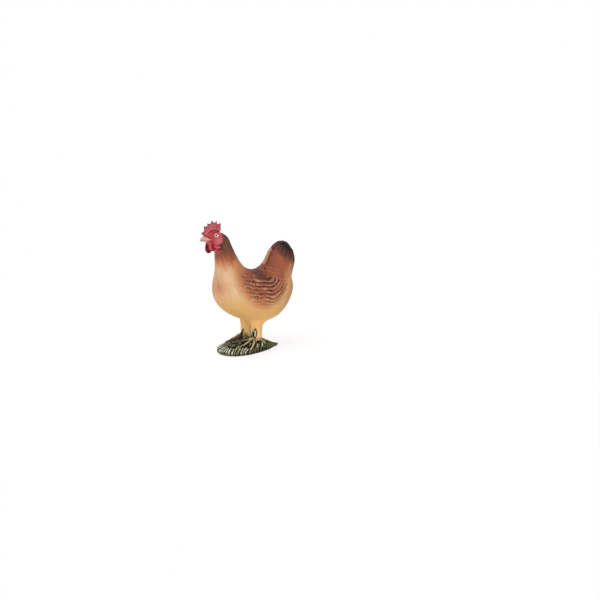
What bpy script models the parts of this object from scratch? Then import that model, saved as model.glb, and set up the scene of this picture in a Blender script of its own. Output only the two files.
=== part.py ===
"""A small painted hen figurine that stands on a mound of grass.

It is moulded in ten pieces, which plug into each other and are glued: body, head, comb, beak, two
wattles, tail, two legs and the grass base. The hen looks along -Y, and its own left side is at +X.
The origin is the middle of the flat underside.

Most pieces are fans of ribs. A rib lies in the plane x = 0 and runs from a point on the hen's
back to one on its front, and the skin is an oval ring about each rib.
"""

import math

import bmesh
import bpy
import numpy as np
from mathutils import Vector

MM = 0.001

# Gap on each side of a glued fit, and how far a root is sunk into its own piece.
GLUE_GAP = 0.25 * MM
ROOT = 1.0 * MM

# The unit of the tables of ribs and of HEAD_AT and COMB_POINTS.
RIB_UNIT = 1.0 * MM

# Grass base.
BASE_LENGTH = 24.4 * MM
BASE_WIDTH = 13.6 * MM
BASE_RIM = 1.0 * MM
BASE_SKEW = 0.12
BASE_TAPER = 0.44
MOUND_HEIGHT = 4.1 * MM
MOUND_TILT = 0.15
BLADES_AROUND = 24
BLADE_RELIEF = 0.35 * MM
BLADE_SWEEP = 0.5
TUFT_BLADES = 2
TUFT_HEIGHT = 4.2 * MM
TUFT_RADIUS = 0.5 * MM
TUFT_REACH = 2.6 * MM
TUFT_STEP = 0.9 * MM
TUFT_LEAN = 0.3 * MM
TUFT_TIP = 0.05

# Legs.
LEG_HEIGHT = 5.9 * MM
LEG_SPREAD = 3.0 * MM
LEFT_LEG_Y = 2.2 * MM
RIGHT_LEG_Y = 0.1 * MM
SHANK_RADIUS = 1.7 * MM
ANKLE_RADIUS = 1.5 * MM
THIGH_RADIUS = 3.0 * MM
THIGH_FLARE = 2.0 * MM
THIGH_RISE = 4.5 * MM
# A leg's depth in front of its axis and behind it, over its half width.
LEG_FRONT = 1.1
LEG_BACK = 1.45
TOE_LENGTH = 5.2 * MM
MIDDLE_TOE_LENGTH = 7.0 * MM
HIND_TOE_LENGTH = 2.8 * MM
TOE_RADIUS = 0.75 * MM
CLAW_RADIUS = 0.3 * MM
TOE_SPREAD = math.radians(28)
FOOT_TURN = math.radians(18)
FOOT_PEG_RADIUS = 1.0 * MM
FOOT_PEG_DEPTH = 1.8 * MM
HIP_PEG_RADIUS = 1.3 * MM
HIP_PEG_LENGTH = 4.5 * MM

# Every z of the hen itself is measured from here, the height of its lowest belly feathers.
BELLY_Z = MOUND_HEIGHT + LEG_HEIGHT

# Where the comb's rays meet inside the head: y and z.
HEAD_AT = (-13.0, 33.2)

# Ribs: back y and z, front y and z, half width, and how far the widest place lies towards the
# front end. The head's run from the beak to the neck rim, measured from HEAD_AT.
HEAD_RIBS = (
    (-3.7, 0.4, -3.2, -1.0, 0.8, 0.00),
    (-3.0, 1.2, -2.6, -2.0, 1.7, 0.00),
    (-1.6, 2.0, -1.7, -3.2, 2.6, 0.00),
    (0.4, 2.2, -0.5, -4.6, 3.3, 0.00),
    (2.2, 1.8, 0.2, -5.6, 3.6, 0.00),
    (3.7, 0.8, 0.8, -6.1, 3.6, 0.00),
)
BODY_RIBS = (
    (-7.9, 32.4, -12.3, 25.0, 4.0, 0.00),
    (-6.0, 28.8, -12.2, 22.2, 4.6, 0.05),
    (-4.3, 25.4, -12.3, 18.6, 5.6, 0.12),
    (-2.4, 22.3, -12.8, 14.4, 7.2, 0.20),
    (-0.1, 20.5, -12.4, 9.8, 8.7, 0.25),
    (2.0, 19.9, -9.4, 5.6, 9.6, 0.28),
    (3.6, 20.1, -3.5, 2.2, 9.8, 0.30),
    (4.7, 20.7, 3.0, 0.9, 9.6, 0.36),
    (5.7, 21.7, 8.9, 1.6, 8.9, 0.44),
    (6.6, 23.0, 12.9, 4.4, 7.7, 0.48),
    (7.5, 24.8, 15.8, 8.4, 6.4, 0.46),
    (8.5, 26.8, 17.1, 12.2, 5.2, 0.38),
    (9.7, 28.4, 16.7, 15.6, 4.2, 0.26),
)
TAIL_RIBS = (
    (11.0, 29.5, 17.3, 19.0, 3.3, 0.15),
    (12.3, 30.0, 17.9, 22.2, 2.6, 0.08),
    (13.8, 29.8, 17.6, 25.4, 1.9, 0.00),
    (15.0, 29.2, 16.6, 27.7, 1.1, 0.00),
)
STEPS_PER_RIB = 3
RING_POINTS = 40
SMALL_RING_POINTS = 12

# Groove between the two feather fans of the tail, and the swelling of the folded wings.
TAIL_GROOVE = 0.9 * MM
GROOVE_HALF_WIDTH = 0.22
GROOVE_FADE_RIBS = 3.0
WING_SWELL = 0.9 * MM
WING_MIDDLE_RIB = 13.8
WING_HALF_RIBS = 3.6
WING_MIDDLE_TURN = 1.2
WING_HALF_TURN = 0.75

# Plugs at the neck rim and the tail root.
PLUG_INSET = 1.4 * MM
PLUG_LENGTH = 3.4 * MM

# Eyes.
EYE_RADIUS = 0.8 * MM
EYE_RIB = 3.0
EYE_TURN = 0.92

# Comb: the angle and reach of each point, from the back of the head to the brow.
COMB_POINTS = ((61, 5.6), (78, 5.9), (94, 6.2), (113, 5.7), (131, 5.6), (160, 5.0))
COMB_NOTCH = 1.0 * MM
COMB_THICKNESS = 1.5 * MM
COMB_ROOT = 1.2 * MM
COMB_PEAR = 0.35

# Beak ribs, root to tip, and wattle ribs, root to lowest point, measured from HEAD_AT.
BEAK_RIBS = (
    (-1.8, 0.1, -1.6, -1.5, 1.1, 0.0),
    (-3.3, 0.5, -2.4, -1.9, 1.25, 0.0),
    (-4.2, 0.2, -3.2, -2.1, 1.0, 0.0),
    (-4.8, -0.4, -4.1, -1.9, 0.6, 0.0),
    (-5.1, -1.0, -4.9, -1.5, 0.2, 0.0),
)
WATTLE_RIBS = (
    (-1.1, -1.4, -2.2, -1.5, 0.5, 0.0),
    (-0.6, -2.8, -2.5, -2.8, 0.7, 0.0),
    (-0.3, -4.1, -2.7, -4.0, 0.85, 0.0),
    (-0.4, -5.1, -2.5, -5.0, 0.8, 0.0),
    (-0.9, -5.7, -1.9, -5.7, 0.4, 0.0),
)
WATTLE_X = 1.5 * MM
LEFT_WATTLE_DROP = 0.85
RIGHT_WATTLE_DROP = 1.08


def clear_scene():
    """Removes whatever the scene holds."""
    for old in list(bpy.data.objects):
        bpy.data.objects.remove(old)


def paint(name, colour, roughness):
    """A plastic paint."""
    made = bpy.data.materials.new(name)
    made.use_nodes = True
    shader = made.node_tree.nodes["Principled BSDF"]
    shader.inputs["Base Color"].default_value = (*colour, 1.0)
    shader.inputs["Roughness"].default_value = roughness
    shader.inputs["Metallic"].default_value = 0.0
    return made


def smooth_rows(rows, steps):
    """The rows with steps - 1 more between each two, on a Catmull-Rom curve through them."""
    rows = np.asarray(rows, float)
    ends = np.vstack([2 * rows[0] - rows[1], rows, 2 * rows[-1] - rows[-2]])
    place = np.linspace(0, len(rows) - 1, steps * (len(rows) - 1) + 1)
    start = np.minimum(place.astype(int), len(rows) - 2)
    t = (place - start)[:, None]
    a, b, c, d = (ends[start + k] for k in range(4))
    curved = 2 * b + (c - a) * t + (2 * a - 5 * b + 4 * c - d) * t**2 + (3 * b - a - 3 * c + d) * t**3
    return curved / 2


def from_head(rows):
    """Ribs that were measured from HEAD_AT."""
    shift = (*HEAD_AT, *HEAD_AT, 0.0, 0.0)
    return [tuple(np.add(row, shift)) for row in rows]


def ring_about(rib, turn, grow=0.0, groove=0.0):
    """The oval round a rib at the angles turn: 0 is its back end, pi its front end."""
    back = rib[0:2] * RIB_UNIT + (0, BELLY_Z)
    front = rib[2:4] * RIB_UNIT + (0, BELLY_Z)
    half = np.linalg.norm(back - front) / 2
    along = (back - front) / (2 * half)
    egg = np.sin(turn) * (1 - rib[5] * np.cos(turn))
    half_turn = np.linspace(0, math.pi, 181)
    widest = np.max(np.sin(half_turn) * (1 - rib[5] * np.cos(half_turn)))
    valley = groove * np.exp(-(np.sin(turn / 2) / GROOVE_HALF_WIDTH) ** 2)
    reach = (half + grow) * np.cos(turn) - valley
    across = (rib[4] * RIB_UNIT + grow) * egg / widest
    middle = (back + front) / 2
    return np.stack([across, middle[0] + reach * along[0], middle[1] + reach * along[1]], axis=1)


def mesh_object(name, points, faces, material=None):
    """An object from points and faces, with its normals facing out."""
    mesh = bpy.data.meshes.new(name)
    mesh.from_pydata([tuple(p) for p in points], [], faces)
    form = bmesh.new()
    form.from_mesh(mesh)
    bmesh.ops.recalc_face_normals(form, faces=form.faces)
    form.to_mesh(mesh)
    form.free()
    if material:
        mesh.materials.append(material)
    made = bpy.data.objects.new(name, mesh)
    bpy.context.scene.collection.objects.link(made)
    return made


def loft(name, rings, material=None):
    """A closed solid through the rings, with a flat cap on the first and last."""
    rows, around = rings.shape[:2]
    faces = [
        (r * around + c, r * around + (c + 1) % around,
         (r + 1) * around + (c + 1) % around, (r + 1) * around + c)
        for r in range(rows - 1)
        for c in range(around)
    ]
    faces.append(tuple(range(around)))
    faces.append(tuple(range((rows - 1) * around, rows * around)))
    return mesh_object(name, rings.reshape(-1, 3), faces, material)


def push_ends(rings, distance):
    """Moves the first and last ring outwards by distance."""
    for end, inner in ((0, 1), (-1, -2)):
        way = rings[end].mean(axis=0) - rings[inner].mean(axis=0)
        rings[end] += way / np.linalg.norm(way) * distance


def fan(name, rows, material=None, grow=0.0):
    """A small piece about a fan of ribs, with its whole skin pushed out by grow."""
    turn = np.linspace(0, 2 * math.pi, SMALL_RING_POINTS, endpoint=False)
    rings = np.array([ring_about(rib, turn, grow) for rib in smooth_rows(rows, STEPS_PER_RIB)])
    push_ends(rings, grow)
    return loft(name, rings, material)


def tube(name, path, radii, sides, material=None):
    """A solid of circles along a path that never runs straight along X."""
    path = np.asarray(path, float)
    way = np.gradient(path, axis=0)
    way /= np.linalg.norm(way, axis=1, keepdims=True)
    side = np.cross(way, (1.0, 0, 0))
    side /= np.linalg.norm(side, axis=1, keepdims=True)
    rise = np.cross(side, way)
    turn = np.linspace(0, 2 * math.pi, sides, endpoint=False)[None, :, None]
    round_it = np.cos(turn) * side[:, None, :] + np.sin(turn) * rise[:, None, :]
    return loft(name, path[:, None, :] + np.asarray(radii)[:, None, None] * round_it, material)


def rod(name, start, end, radius, sides=16):
    """A straight round bar."""
    return tube(name, [start, end], [radius, radius], sides)


def combine(target, other, operation):
    """Applies a Boolean of other to target and removes other."""
    step = target.modifiers.new(operation.lower(), "BOOLEAN")
    step.operation = operation
    step.solver = "EXACT"
    step.object = other
    graph = bpy.context.evaluated_depsgraph_get()
    result = bpy.data.meshes.new_from_object(target.evaluated_get(graph))
    target.modifiers.clear()
    target.data = result
    bpy.data.objects.remove(other)
    return target


# The hen's form, beak to tail tip

NECK_RIM = len(HEAD_RIBS) - 1
TAIL_ROOT = NECK_RIM + len(BODY_RIBS)
HEN_RIBS = smooth_rows((*from_head(HEAD_RIBS), *BODY_RIBS, *TAIL_RIBS), STEPS_PER_RIB)


def hump(place, middle, half):
    """1 at the middle, falling smoothly to 0 at half to either side."""
    return np.clip(1 - ((place - middle) / half) ** 2, 0, 1) ** 2


def hen_ring(row, turn, grow=0.0):
    """The skin of the hen at a row of HEN_RIBS, with the tail's groove and the wings."""
    place = row / STEPS_PER_RIB
    last = len(HEAD_RIBS) + len(BODY_RIBS) + len(TAIL_RIBS) - 1
    fade_in = np.clip((place - TAIL_ROOT) / GROOVE_FADE_RIBS + 0.5, 0, 1)
    fade_out = np.clip(last - place, 0, 1)
    ring = ring_about(HEN_RIBS[row], turn, grow, TAIL_GROOVE * fade_in * fade_out)
    folded = np.minimum(turn, 2 * math.pi - turn)
    wing = hump(place, WING_MIDDLE_RIB, WING_HALF_RIBS) * hump(folded, WING_MIDDLE_TURN, WING_HALF_TURN)
    ring[:, 0] += np.sign(math.pi - turn) * WING_SWELL * np.clip(3 * wing, 0, 1)
    return ring


def hen_piece(name, first, last, material=None, grow=0.0):
    """The hen from one rib to another. Each end stands back by half a glue gap."""
    turn = np.linspace(0, 2 * math.pi, RING_POINTS, endpoint=False)
    rows = range(first * STEPS_PER_RIB, last * STEPS_PER_RIB + 1)
    rings = np.array([hen_ring(row, turn, grow) for row in rows])
    push_ends(rings, grow - GLUE_GAP / 2)
    return loft(name, rings, material)


def plug(name, rib, step, gap=0.0):
    """A keyed plug: the skin at a rib, drawn in, and carried along the hen towards rib + step."""
    turn = np.linspace(0, 2 * math.pi, RING_POINTS // 2, endpoint=False)
    row = rib * STEPS_PER_RIB
    ring = hen_ring(row, turn, gap - PLUG_INSET)
    way = hen_ring(row + step * STEPS_PER_RIB, turn).mean(axis=0) - hen_ring(row, turn).mean(axis=0)
    way /= np.linalg.norm(way)
    return loft(name, np.array([ring - way * 2 * GLUE_GAP, ring + way * (PLUG_LENGTH + gap)]))


def skin_point(rib, turn):
    """A point on the skin of the hen's left side."""
    row = round(rib * STEPS_PER_RIB)
    return hen_ring(row, np.array([turn]))[0]


# Pieces

def leg_place(side):
    """Where the leg of that side stands: +1 is the hen's left."""
    return side * LEG_SPREAD, LEFT_LEG_Y if side > 0 else RIGHT_LEG_Y


def hip_peg(side, gap=0.0):
    """The peg on top of a leg, or with a gap the socket for it."""
    x, y = leg_place(side)
    high = BELLY_Z + HIP_PEG_LENGTH + gap
    return rod("hip_peg", (x, y, BELLY_Z - ROOT), (x, y, high), HIP_PEG_RADIUS + gap)


def body(name, material):
    """Torso, neck and folded wings, with sockets for the head, the tail and the legs."""
    made = hen_piece(name, NECK_RIM, TAIL_ROOT, material)
    combine(made, plug("neck_socket", NECK_RIM, 1, GLUE_GAP), "DIFFERENCE")
    combine(made, plug("tail_socket", TAIL_ROOT, -1, GLUE_GAP), "DIFFERENCE")
    for side in (1, -1):
        combine(made, hip_peg(side, GLUE_GAP), "DIFFERENCE")
    return made


def comb(name, material=None, grow=0.0):
    """The comb: rays from a root arc inside the head to a crest notched between its points."""
    angles = np.radians([p[0] for p in COMB_POINTS])
    reaches = np.array([p[1] for p in COMB_POINTS]) * RIB_UNIT
    per_point = 4
    place = np.linspace(0, len(angles) - 1, per_point * (len(angles) - 1) + 1)
    angle = np.interp(place, range(len(angles)), angles)
    crest = np.interp(place, range(len(angles)), reaches)
    crest -= COMB_NOTCH * np.abs(np.sin(math.pi * place)) ** 0.7
    angle = np.concatenate([angle[0] - (0.45, 0.15), angle, [angle[-1] + 0.14]])
    crest = np.concatenate([crest[0] - COMB_NOTCH * np.array((2.4, 1.0)), crest,
                            [crest[-1] - COMB_NOTCH]])
    outward = np.stack([np.cos(angle), np.sin(angle)], axis=1)
    turn = np.linspace(0, 2 * math.pi, 10, endpoint=False)
    rings = []
    for way, reach in zip(outward, crest):
        back = np.array(HEAD_AT) + way * reach / RIB_UNIT
        front = np.array(HEAD_AT) + way * COMB_ROOT / RIB_UNIT
        rib = np.array([*back, *front, COMB_THICKNESS / (2 * RIB_UNIT), COMB_PEAR])
        rings.append(ring_about(rib, turn, grow))
    rings = np.array(rings)
    push_ends(rings, grow)
    return loft(name, rings, material)


def beak(name, material=None, grow=0.0):
    """The beak, with its root inside the head."""
    return fan(name, from_head(BEAK_RIBS), material, grow)


def wattle(name, side, material=None, grow=0.0):
    """A wattle, hung under the cheek with its root inside the head."""
    drop = LEFT_WATTLE_DROP if side > 0 else RIGHT_WATTLE_DROP
    stretch = (1.0, drop, 1.0, drop, 1.0, 1.0)
    made = fan(name, from_head(np.multiply(WATTLE_RIBS, stretch)), material, grow)
    for point in made.data.vertices:
        point.co.x += side * WATTLE_X
    return made


def eye(side):
    """The bump of an eye."""
    centre = skin_point(EYE_RIB, EYE_TURN) * (side, 1, 1)
    ball = bmesh.new()
    bmesh.ops.create_icosphere(ball, subdivisions=2, radius=EYE_RADIUS)
    bmesh.ops.translate(ball, verts=ball.verts, vec=Vector(centre))
    mesh = bpy.data.meshes.new("eye")
    ball.to_mesh(mesh)
    ball.free()
    made = bpy.data.objects.new("eye", mesh)
    bpy.context.scene.collection.objects.link(made)
    return made


def head(name, material):
    """The head with its eyes and neck plug, and seats for the comb, the beak and the wattles."""
    made = hen_piece(name, 0, NECK_RIM, material)
    combine(made, plug("neck_plug", NECK_RIM, 1), "UNION")
    for side in (1, -1):
        combine(made, eye(side), "UNION")
    combine(made, beak("beak_seat", grow=GLUE_GAP), "DIFFERENCE")
    combine(made, comb("comb_seat", grow=GLUE_GAP), "DIFFERENCE")
    for side in (1, -1):
        combine(made, wattle("wattle_seat", side, grow=GLUE_GAP), "DIFFERENCE")
    return made


def tail(name, material):
    """The tail, two feather fans with a groove between them, and its plug."""
    made = hen_piece(name, TAIL_ROOT, TAIL_ROOT + len(TAIL_RIBS), material)
    return combine(made, plug("tail_plug", TAIL_ROOT, -1), "UNION")


def base_half_width(y):
    """Half width of the base at y over the half width of an ellipse: more in front, less behind."""
    return BASE_WIDTH / 2 * (1 - BASE_TAPER * 2 * y / BASE_LENGTH)


def mound_height(x, y):
    """Height of the mound without its blades of grass."""
    edge = ((x + BASE_SKEW * y) / base_half_width(y)) ** 2 + (2 * y / BASE_LENGTH) ** 2
    rise = (MOUND_HEIGHT - BASE_RIM) * np.clip(1 - edge, 0, 1) ** 0.75
    return BASE_RIM + rise * (1 - MOUND_TILT * 2 * x / BASE_WIDTH)


def mound(name, material=None, grow=0.0):
    """The mound with its flat underside and its swept ridges of grass."""
    around = BLADES_AROUND * 3
    shares = np.array([1.0, 1.0, 0.96, 0.86, 0.7, 0.5, 0.28, 0.1])
    turn = np.linspace(0, 2 * math.pi, around, endpoint=False)[None, :]
    share = shares[:, None]
    ridge = np.cos(BLADES_AROUND * (turn + BLADE_SWEEP * share)) * np.clip(share * 1.6 - 0.3, 0, 1)
    swell = grow + BLADE_RELIEF * (ridge - 1)
    y = share * (BASE_LENGTH / 2 + swell) * np.cos(turn)
    x = share * (base_half_width(y) + swell) * np.sin(turn) - BASE_SKEW * y
    z = mound_height(x, y) + BLADE_RELIEF * ridge * (share < 1) + grow
    z[0] = -grow
    return loft(name, np.stack([x, y, z], axis=2), material)


def tuft_blade(side, number, gap=0.0):
    """A blade of grass that rises before a leg. On the left foot it stands between two toes."""
    x, y = leg_place(side)
    bearing = FOOT_TURN + TOE_SPREAD / 2
    reach = TUFT_REACH + number * TUFT_STEP
    height = TUFT_HEIGHT / (1 + number / 2)
    rise = np.linspace(0, 1, 5)
    out = reach - TUFT_LEAN * rise**2
    foot_z = mound_height(x + reach * math.sin(bearing), y - reach * math.cos(bearing))
    low = BASE_RIM / 2
    path = np.stack([
        x + out * math.sin(bearing),
        y - out * math.cos(bearing),
        low + rise * (foot_z + height - low),
    ], axis=1)
    return tube("blade", path, TUFT_RADIUS * (1 + TUFT_TIP - rise**3) + gap, 6)


def foot_peg(side, gap=0.0):
    """The peg under a foot, or with a gap the socket for it."""
    x, y = leg_place(side)
    top = mound_height(x, y)
    bottom = top - FOOT_PEG_DEPTH - gap
    return rod("foot_peg", (x, y, bottom), (x, y, top + ROOT), FOOT_PEG_RADIUS + gap)


def grass_base(name, material):
    """The mound with its tufts, and a socket for each foot."""
    made = mound(name, material)
    for side in (1, -1):
        for number in range(TUFT_BLADES):
            combine(made, tuft_blade(side, number), "UNION")
        combine(made, foot_peg(side, GLUE_GAP), "DIFFERENCE")
    return made


def toe(side, bearing, length):
    """A toe that lies on the mound, thinner towards its claw. Its bearing is from straight ahead."""
    x, y = leg_place(side)
    rise = np.linspace(0, 1, 6)
    out = ANKLE_RADIUS / 2 + rise * length
    out_x = x + side * out * math.sin(bearing)
    out_y = y - out * math.cos(bearing)
    radii = TOE_RADIUS + (CLAW_RADIUS - TOE_RADIUS) * rise
    lift = mound_height(out_x, out_y) + radii * 0.7
    return tube("toe", np.stack([out_x, out_y, lift], axis=1), radii, 8)


def leg(name, side, material):
    """Thigh, shank and toes, with a peg at each end. It stands clear of the body and the mound.
    Thigh and shank are round tubes stretched along Y, more behind the leg's axis than in front."""
    x, y = leg_place(side)
    foot_z = mound_height(x, y) + GLUE_GAP
    knee_z = BELLY_Z - THIGH_FLARE / 2
    heights = (foot_z, foot_z + ROOT, knee_z, knee_z + THIGH_FLARE, BELLY_Z + THIGH_RISE)
    radii = (ANKLE_RADIUS, ANKLE_RADIUS, SHANK_RADIUS, THIGH_RADIUS * 0.85, THIGH_RADIUS)
    made = tube(name, [(x, y, z) for z in heights], radii, 20, material)
    for point in made.data.vertices:
        point.co.y = y + (point.co.y - y) * (LEG_BACK if point.co.y > y else LEG_FRONT)
    toes = ((-TOE_SPREAD, TOE_LENGTH), (0.0, MIDDLE_TOE_LENGTH), (TOE_SPREAD, TOE_LENGTH))
    for bearing, length in toes:
        combine(made, toe(side, FOOT_TURN + bearing, length), "UNION")
    combine(made, toe(side, math.pi, HIND_TOE_LENGTH), "UNION")
    combine(made, mound("mound_clearance", grow=GLUE_GAP), "DIFFERENCE")
    for number in range(TUFT_BLADES):
        combine(made, tuft_blade(side, number, GLUE_GAP), "DIFFERENCE")
    combine(made, hen_piece("body_clearance", NECK_RIM, TAIL_ROOT, grow=GLUE_GAP), "DIFFERENCE")
    combine(made, hip_peg(side), "UNION")
    return combine(made, foot_peg(side), "UNION")


def main():
    """Builds every piece."""
    clear_scene()
    feathers = paint("feather_paint", (0.66, 0.42, 0.18), 0.5)
    skin = paint("red_paint", (0.55, 0.05, 0.06), 0.45)
    horn = paint("horn_paint", (0.62, 0.45, 0.30), 0.4)
    shanks = paint("leg_paint", (0.72, 0.47, 0.20), 0.45)
    grass = paint("grass_paint", (0.10, 0.13, 0.05), 0.6)
    body("body", feathers)
    head("head", skin)
    comb("comb", skin)
    beak("beak", horn)
    wattle("left_wattle", 1, skin)
    wattle("right_wattle", -1, skin)
    tail("tail", feathers)
    leg("left_leg", 1, shanks)
    leg("right_leg", -1, shanks)
    grass_base("grass_base", grass)


main()
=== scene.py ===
"""The finish of a small painted hen figurine on its mound of grass.

The hen looks along -Y, its own left side is at +X, and z = 0 is the flat underside of the mound.
The forms are fans of ribs in the plane x = 0, as in the solid parts, made fine enough to carve
feathers into. Each skin point knows its place along the hen, counted in ribs from the beak, and its
turn about the rib, from 0 at the back to pi at the front. Carving moves a point along its outward
direction. The same formulas that carve also give the painter's masks, kept as mesh attributes.
"""

import math

import bpy
import numpy as np
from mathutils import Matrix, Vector

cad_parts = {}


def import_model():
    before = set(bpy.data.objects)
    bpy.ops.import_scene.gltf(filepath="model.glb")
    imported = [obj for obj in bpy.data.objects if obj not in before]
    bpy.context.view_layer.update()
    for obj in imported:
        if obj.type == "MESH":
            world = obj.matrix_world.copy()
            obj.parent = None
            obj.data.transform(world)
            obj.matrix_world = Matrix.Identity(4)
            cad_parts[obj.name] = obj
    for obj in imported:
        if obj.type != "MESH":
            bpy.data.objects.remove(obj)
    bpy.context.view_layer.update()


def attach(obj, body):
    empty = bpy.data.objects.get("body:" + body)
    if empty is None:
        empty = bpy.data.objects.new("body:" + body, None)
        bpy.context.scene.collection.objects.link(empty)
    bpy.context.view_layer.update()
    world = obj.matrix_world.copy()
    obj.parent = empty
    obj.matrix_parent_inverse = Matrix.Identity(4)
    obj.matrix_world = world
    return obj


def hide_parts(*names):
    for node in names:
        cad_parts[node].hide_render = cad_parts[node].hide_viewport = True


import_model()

MM = 0.001

# The lowest belly feathers, and the point in the head from which the comb's rays start: y and z.
BELLY_Z = 10.0
HEAD_Y = -13.0
HEAD_Z = 33.2 + BELLY_Z

# Ribs in mm: back y and z, front y and z, half width, and how far the widest place lies towards
# the front end. The z values count from BELLY_Z, and the head's ribs from its comb point.
HEAD_RIBS = (
    (-3.7, 0.4, -3.2, -1.0, 0.8, 0.00),
    (-3.0, 1.2, -2.6, -2.0, 1.7, 0.00),
    (-1.6, 2.0, -1.7, -3.2, 2.6, 0.00),
    (0.4, 2.2, -0.5, -4.6, 3.3, 0.00),
    (2.2, 1.8, 0.2, -5.6, 3.6, 0.00),
    (3.7, 0.8, 0.8, -6.1, 3.6, 0.00),
)
BODY_RIBS = (
    (-7.9, 32.4, -12.3, 25.0, 4.0, 0.00),
    (-6.0, 28.8, -12.2, 22.2, 4.6, 0.05),
    (-4.3, 25.4, -12.3, 18.6, 5.6, 0.12),
    (-2.4, 22.3, -12.8, 14.4, 7.2, 0.20),
    (-0.1, 20.5, -12.4, 9.8, 8.7, 0.25),
    (2.0, 19.9, -9.4, 5.6, 9.6, 0.28),
    (3.6, 20.1, -3.5, 2.2, 9.8, 0.30),
    (4.7, 20.7, 3.0, 0.9, 9.6, 0.36),
    (5.7, 21.7, 8.9, 1.6, 8.9, 0.44),
    (6.6, 23.0, 12.9, 4.4, 7.7, 0.48),
    (7.5, 24.8, 15.8, 8.4, 6.4, 0.46),
    (8.5, 26.8, 17.1, 12.2, 5.2, 0.38),
    (9.7, 28.4, 16.7, 15.6, 4.2, 0.26),
)
TAIL_RIBS = (
    (11.0, 29.5, 17.3, 19.0, 3.3, 0.15),
    (12.3, 30.0, 17.9, 22.2, 2.6, 0.08),
    (13.8, 29.8, 17.6, 25.4, 1.9, 0.00),
    (15.0, 29.2, 16.6, 27.7, 1.1, 0.00),
)

# What a rib that counts from the comb's point lacks to one that counts from BELLY_Z.
FROM_COMB_POINT = (HEAD_Y, HEAD_Z - BELLY_Z, HEAD_Y, HEAD_Z - BELLY_Z, 0, 0)
NECK_RIM = len(HEAD_RIBS) - 1
TAIL_ROOT = NECK_RIM + len(BODY_RIBS)
TAIL_END = TAIL_ROOT + len(TAIL_RIBS)

# Groove between the two feather fans of the tail.
TAIL_GROOVE = 0.9
GROOVE_HALF_WIDTH = 0.22
GROOVE_FADE_RIBS = 3.0

# The swelling of the folded wings in mm, its middle and half size in place and turn, and the
# share of its hump from which on it is full.
WING_SWELL = 0.9
WING_MIDDLE = (13.8, 1.2)
WING_HALF = (3.6, 0.75)
WING_FULL = 0.45

# Steps about a rib in which its widest place is looked for.
SWEEP_STEPS = 181

# How fine each piece is: its rings, and the points in each ring.
GRIDS = {
    "body": (300, 320), "tail": (130, 320), "head": (240, 300), "comb": (230, 72), "beak": (70, 72),
    "wattle": (90, 72), "eye": (30, 64), "shank": (120, 96), "toe": (80, 36), "mound": (180, 500),
    "tuft": (44, 24),
}


# Arithmetic

def smooth(value, low, high):
    """0 below low, 1 above high, and the smooth cubic step between them."""
    t = np.clip((value - low) / (high - low), 0, 1)
    return t * t * (3 - 2 * t)


def fall(value, low, high):
    """1 below low, 0 above high, and the smooth cubic step between them."""
    return 1 - smooth(value, low, high)


def between(value, low, lower, upper, high):
    """0 up to low and from high on, 1 from lower to upper, and smooth cubic steps between."""
    return smooth(value, low, lower) * fall(value, upper, high)


def bump_at(value, middle, half):
    """A bell: 1 at the middle, falling as a Gaussian of that half width."""
    return np.exp(-(((value - middle) / half) ** 2))


def spot(across, up, at, size):
    """A soft oval spot on a plane: a bell across it times a bell up it."""
    return bump_at(across, at[0], size[0]) * bump_at(up, at[1], size[1])


def hump(value, middle, half):
    """1 at the middle, and exactly 0 beyond half to either side."""
    return np.clip(1 - ((value - middle) / half) ** 2, 0, 1) ** 2


def curve_rows(rows, place):
    """The rows read at each place of a Catmull-Rom curve through them."""
    rows = np.asarray(rows, float)
    ends = np.vstack([2 * rows[0] - rows[1], rows, 2 * rows[-1] - rows[-2]])
    start = np.minimum(place.astype(int), len(rows) - 2)
    t = (place - start)[:, None]
    a, b, c, d = (ends[start + k] for k in range(4))
    return (2 * b + (c - a) * t + (2 * a - 5 * b + 4 * c - d) * t**2
            + (3 * b - a - 3 * c + d) * t**3) / 2


# How many random values the noise draws, and the primes that scatter the lattice over them.
NOISE_VALUES = 8192
NOISE_STRIDE = 7919
NOISE_SHIFT = 104729


def lattice_noise(size, seed, *axes):
    """Smooth noise from -1 to 1: random values at the corners of a lattice of that size,
    blended between the corners by the cubic step along each axis."""
    table = np.random.default_rng(seed).uniform(-1, 1, NOISE_VALUES)
    scaled = [np.asarray(axis, float) / size for axis in axes]
    cells = [np.floor(axis).astype(np.int64) for axis in scaled]
    parts = [smooth(axis - cell, 0, 1) for axis, cell in zip(scaled, cells)]
    total = 0.0
    for corner in range(2 ** len(axes)):
        mix = seed
        weight = 1.0
        for number, (cell, part) in enumerate(zip(cells, parts)):
            step = corner >> number & 1
            mix = (mix + cell + step) * NOISE_STRIDE + NOISE_SHIFT
            weight = weight * (part if step else 1 - part)
        total = total + weight * table[mix % NOISE_VALUES]
    return total


def wobble(seed, *axes):
    """Lattice noise that changes from one whole number of each axis to the next."""
    return lattice_noise(1.0, seed, *axes)


def rough_noise(size, seed, *axes):
    """Three octaves of lattice noise, each half as large and half as strong."""
    return sum(lattice_noise(size / 2**k, seed + k, *axes) / 2**k for k in range(3)) / 1.75


def colour(red, green, blue):
    """A paint colour, 0 to 255 as on a screen, as the shader's linear RGBA."""
    share = np.array((red, green, blue)) / 255
    linear = np.where(share <= 0.04045, share / 12.92, ((share + 0.055) / 1.055) ** 2.4)
    return (*linear.tolist(), 1.0)


# Skins

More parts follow.
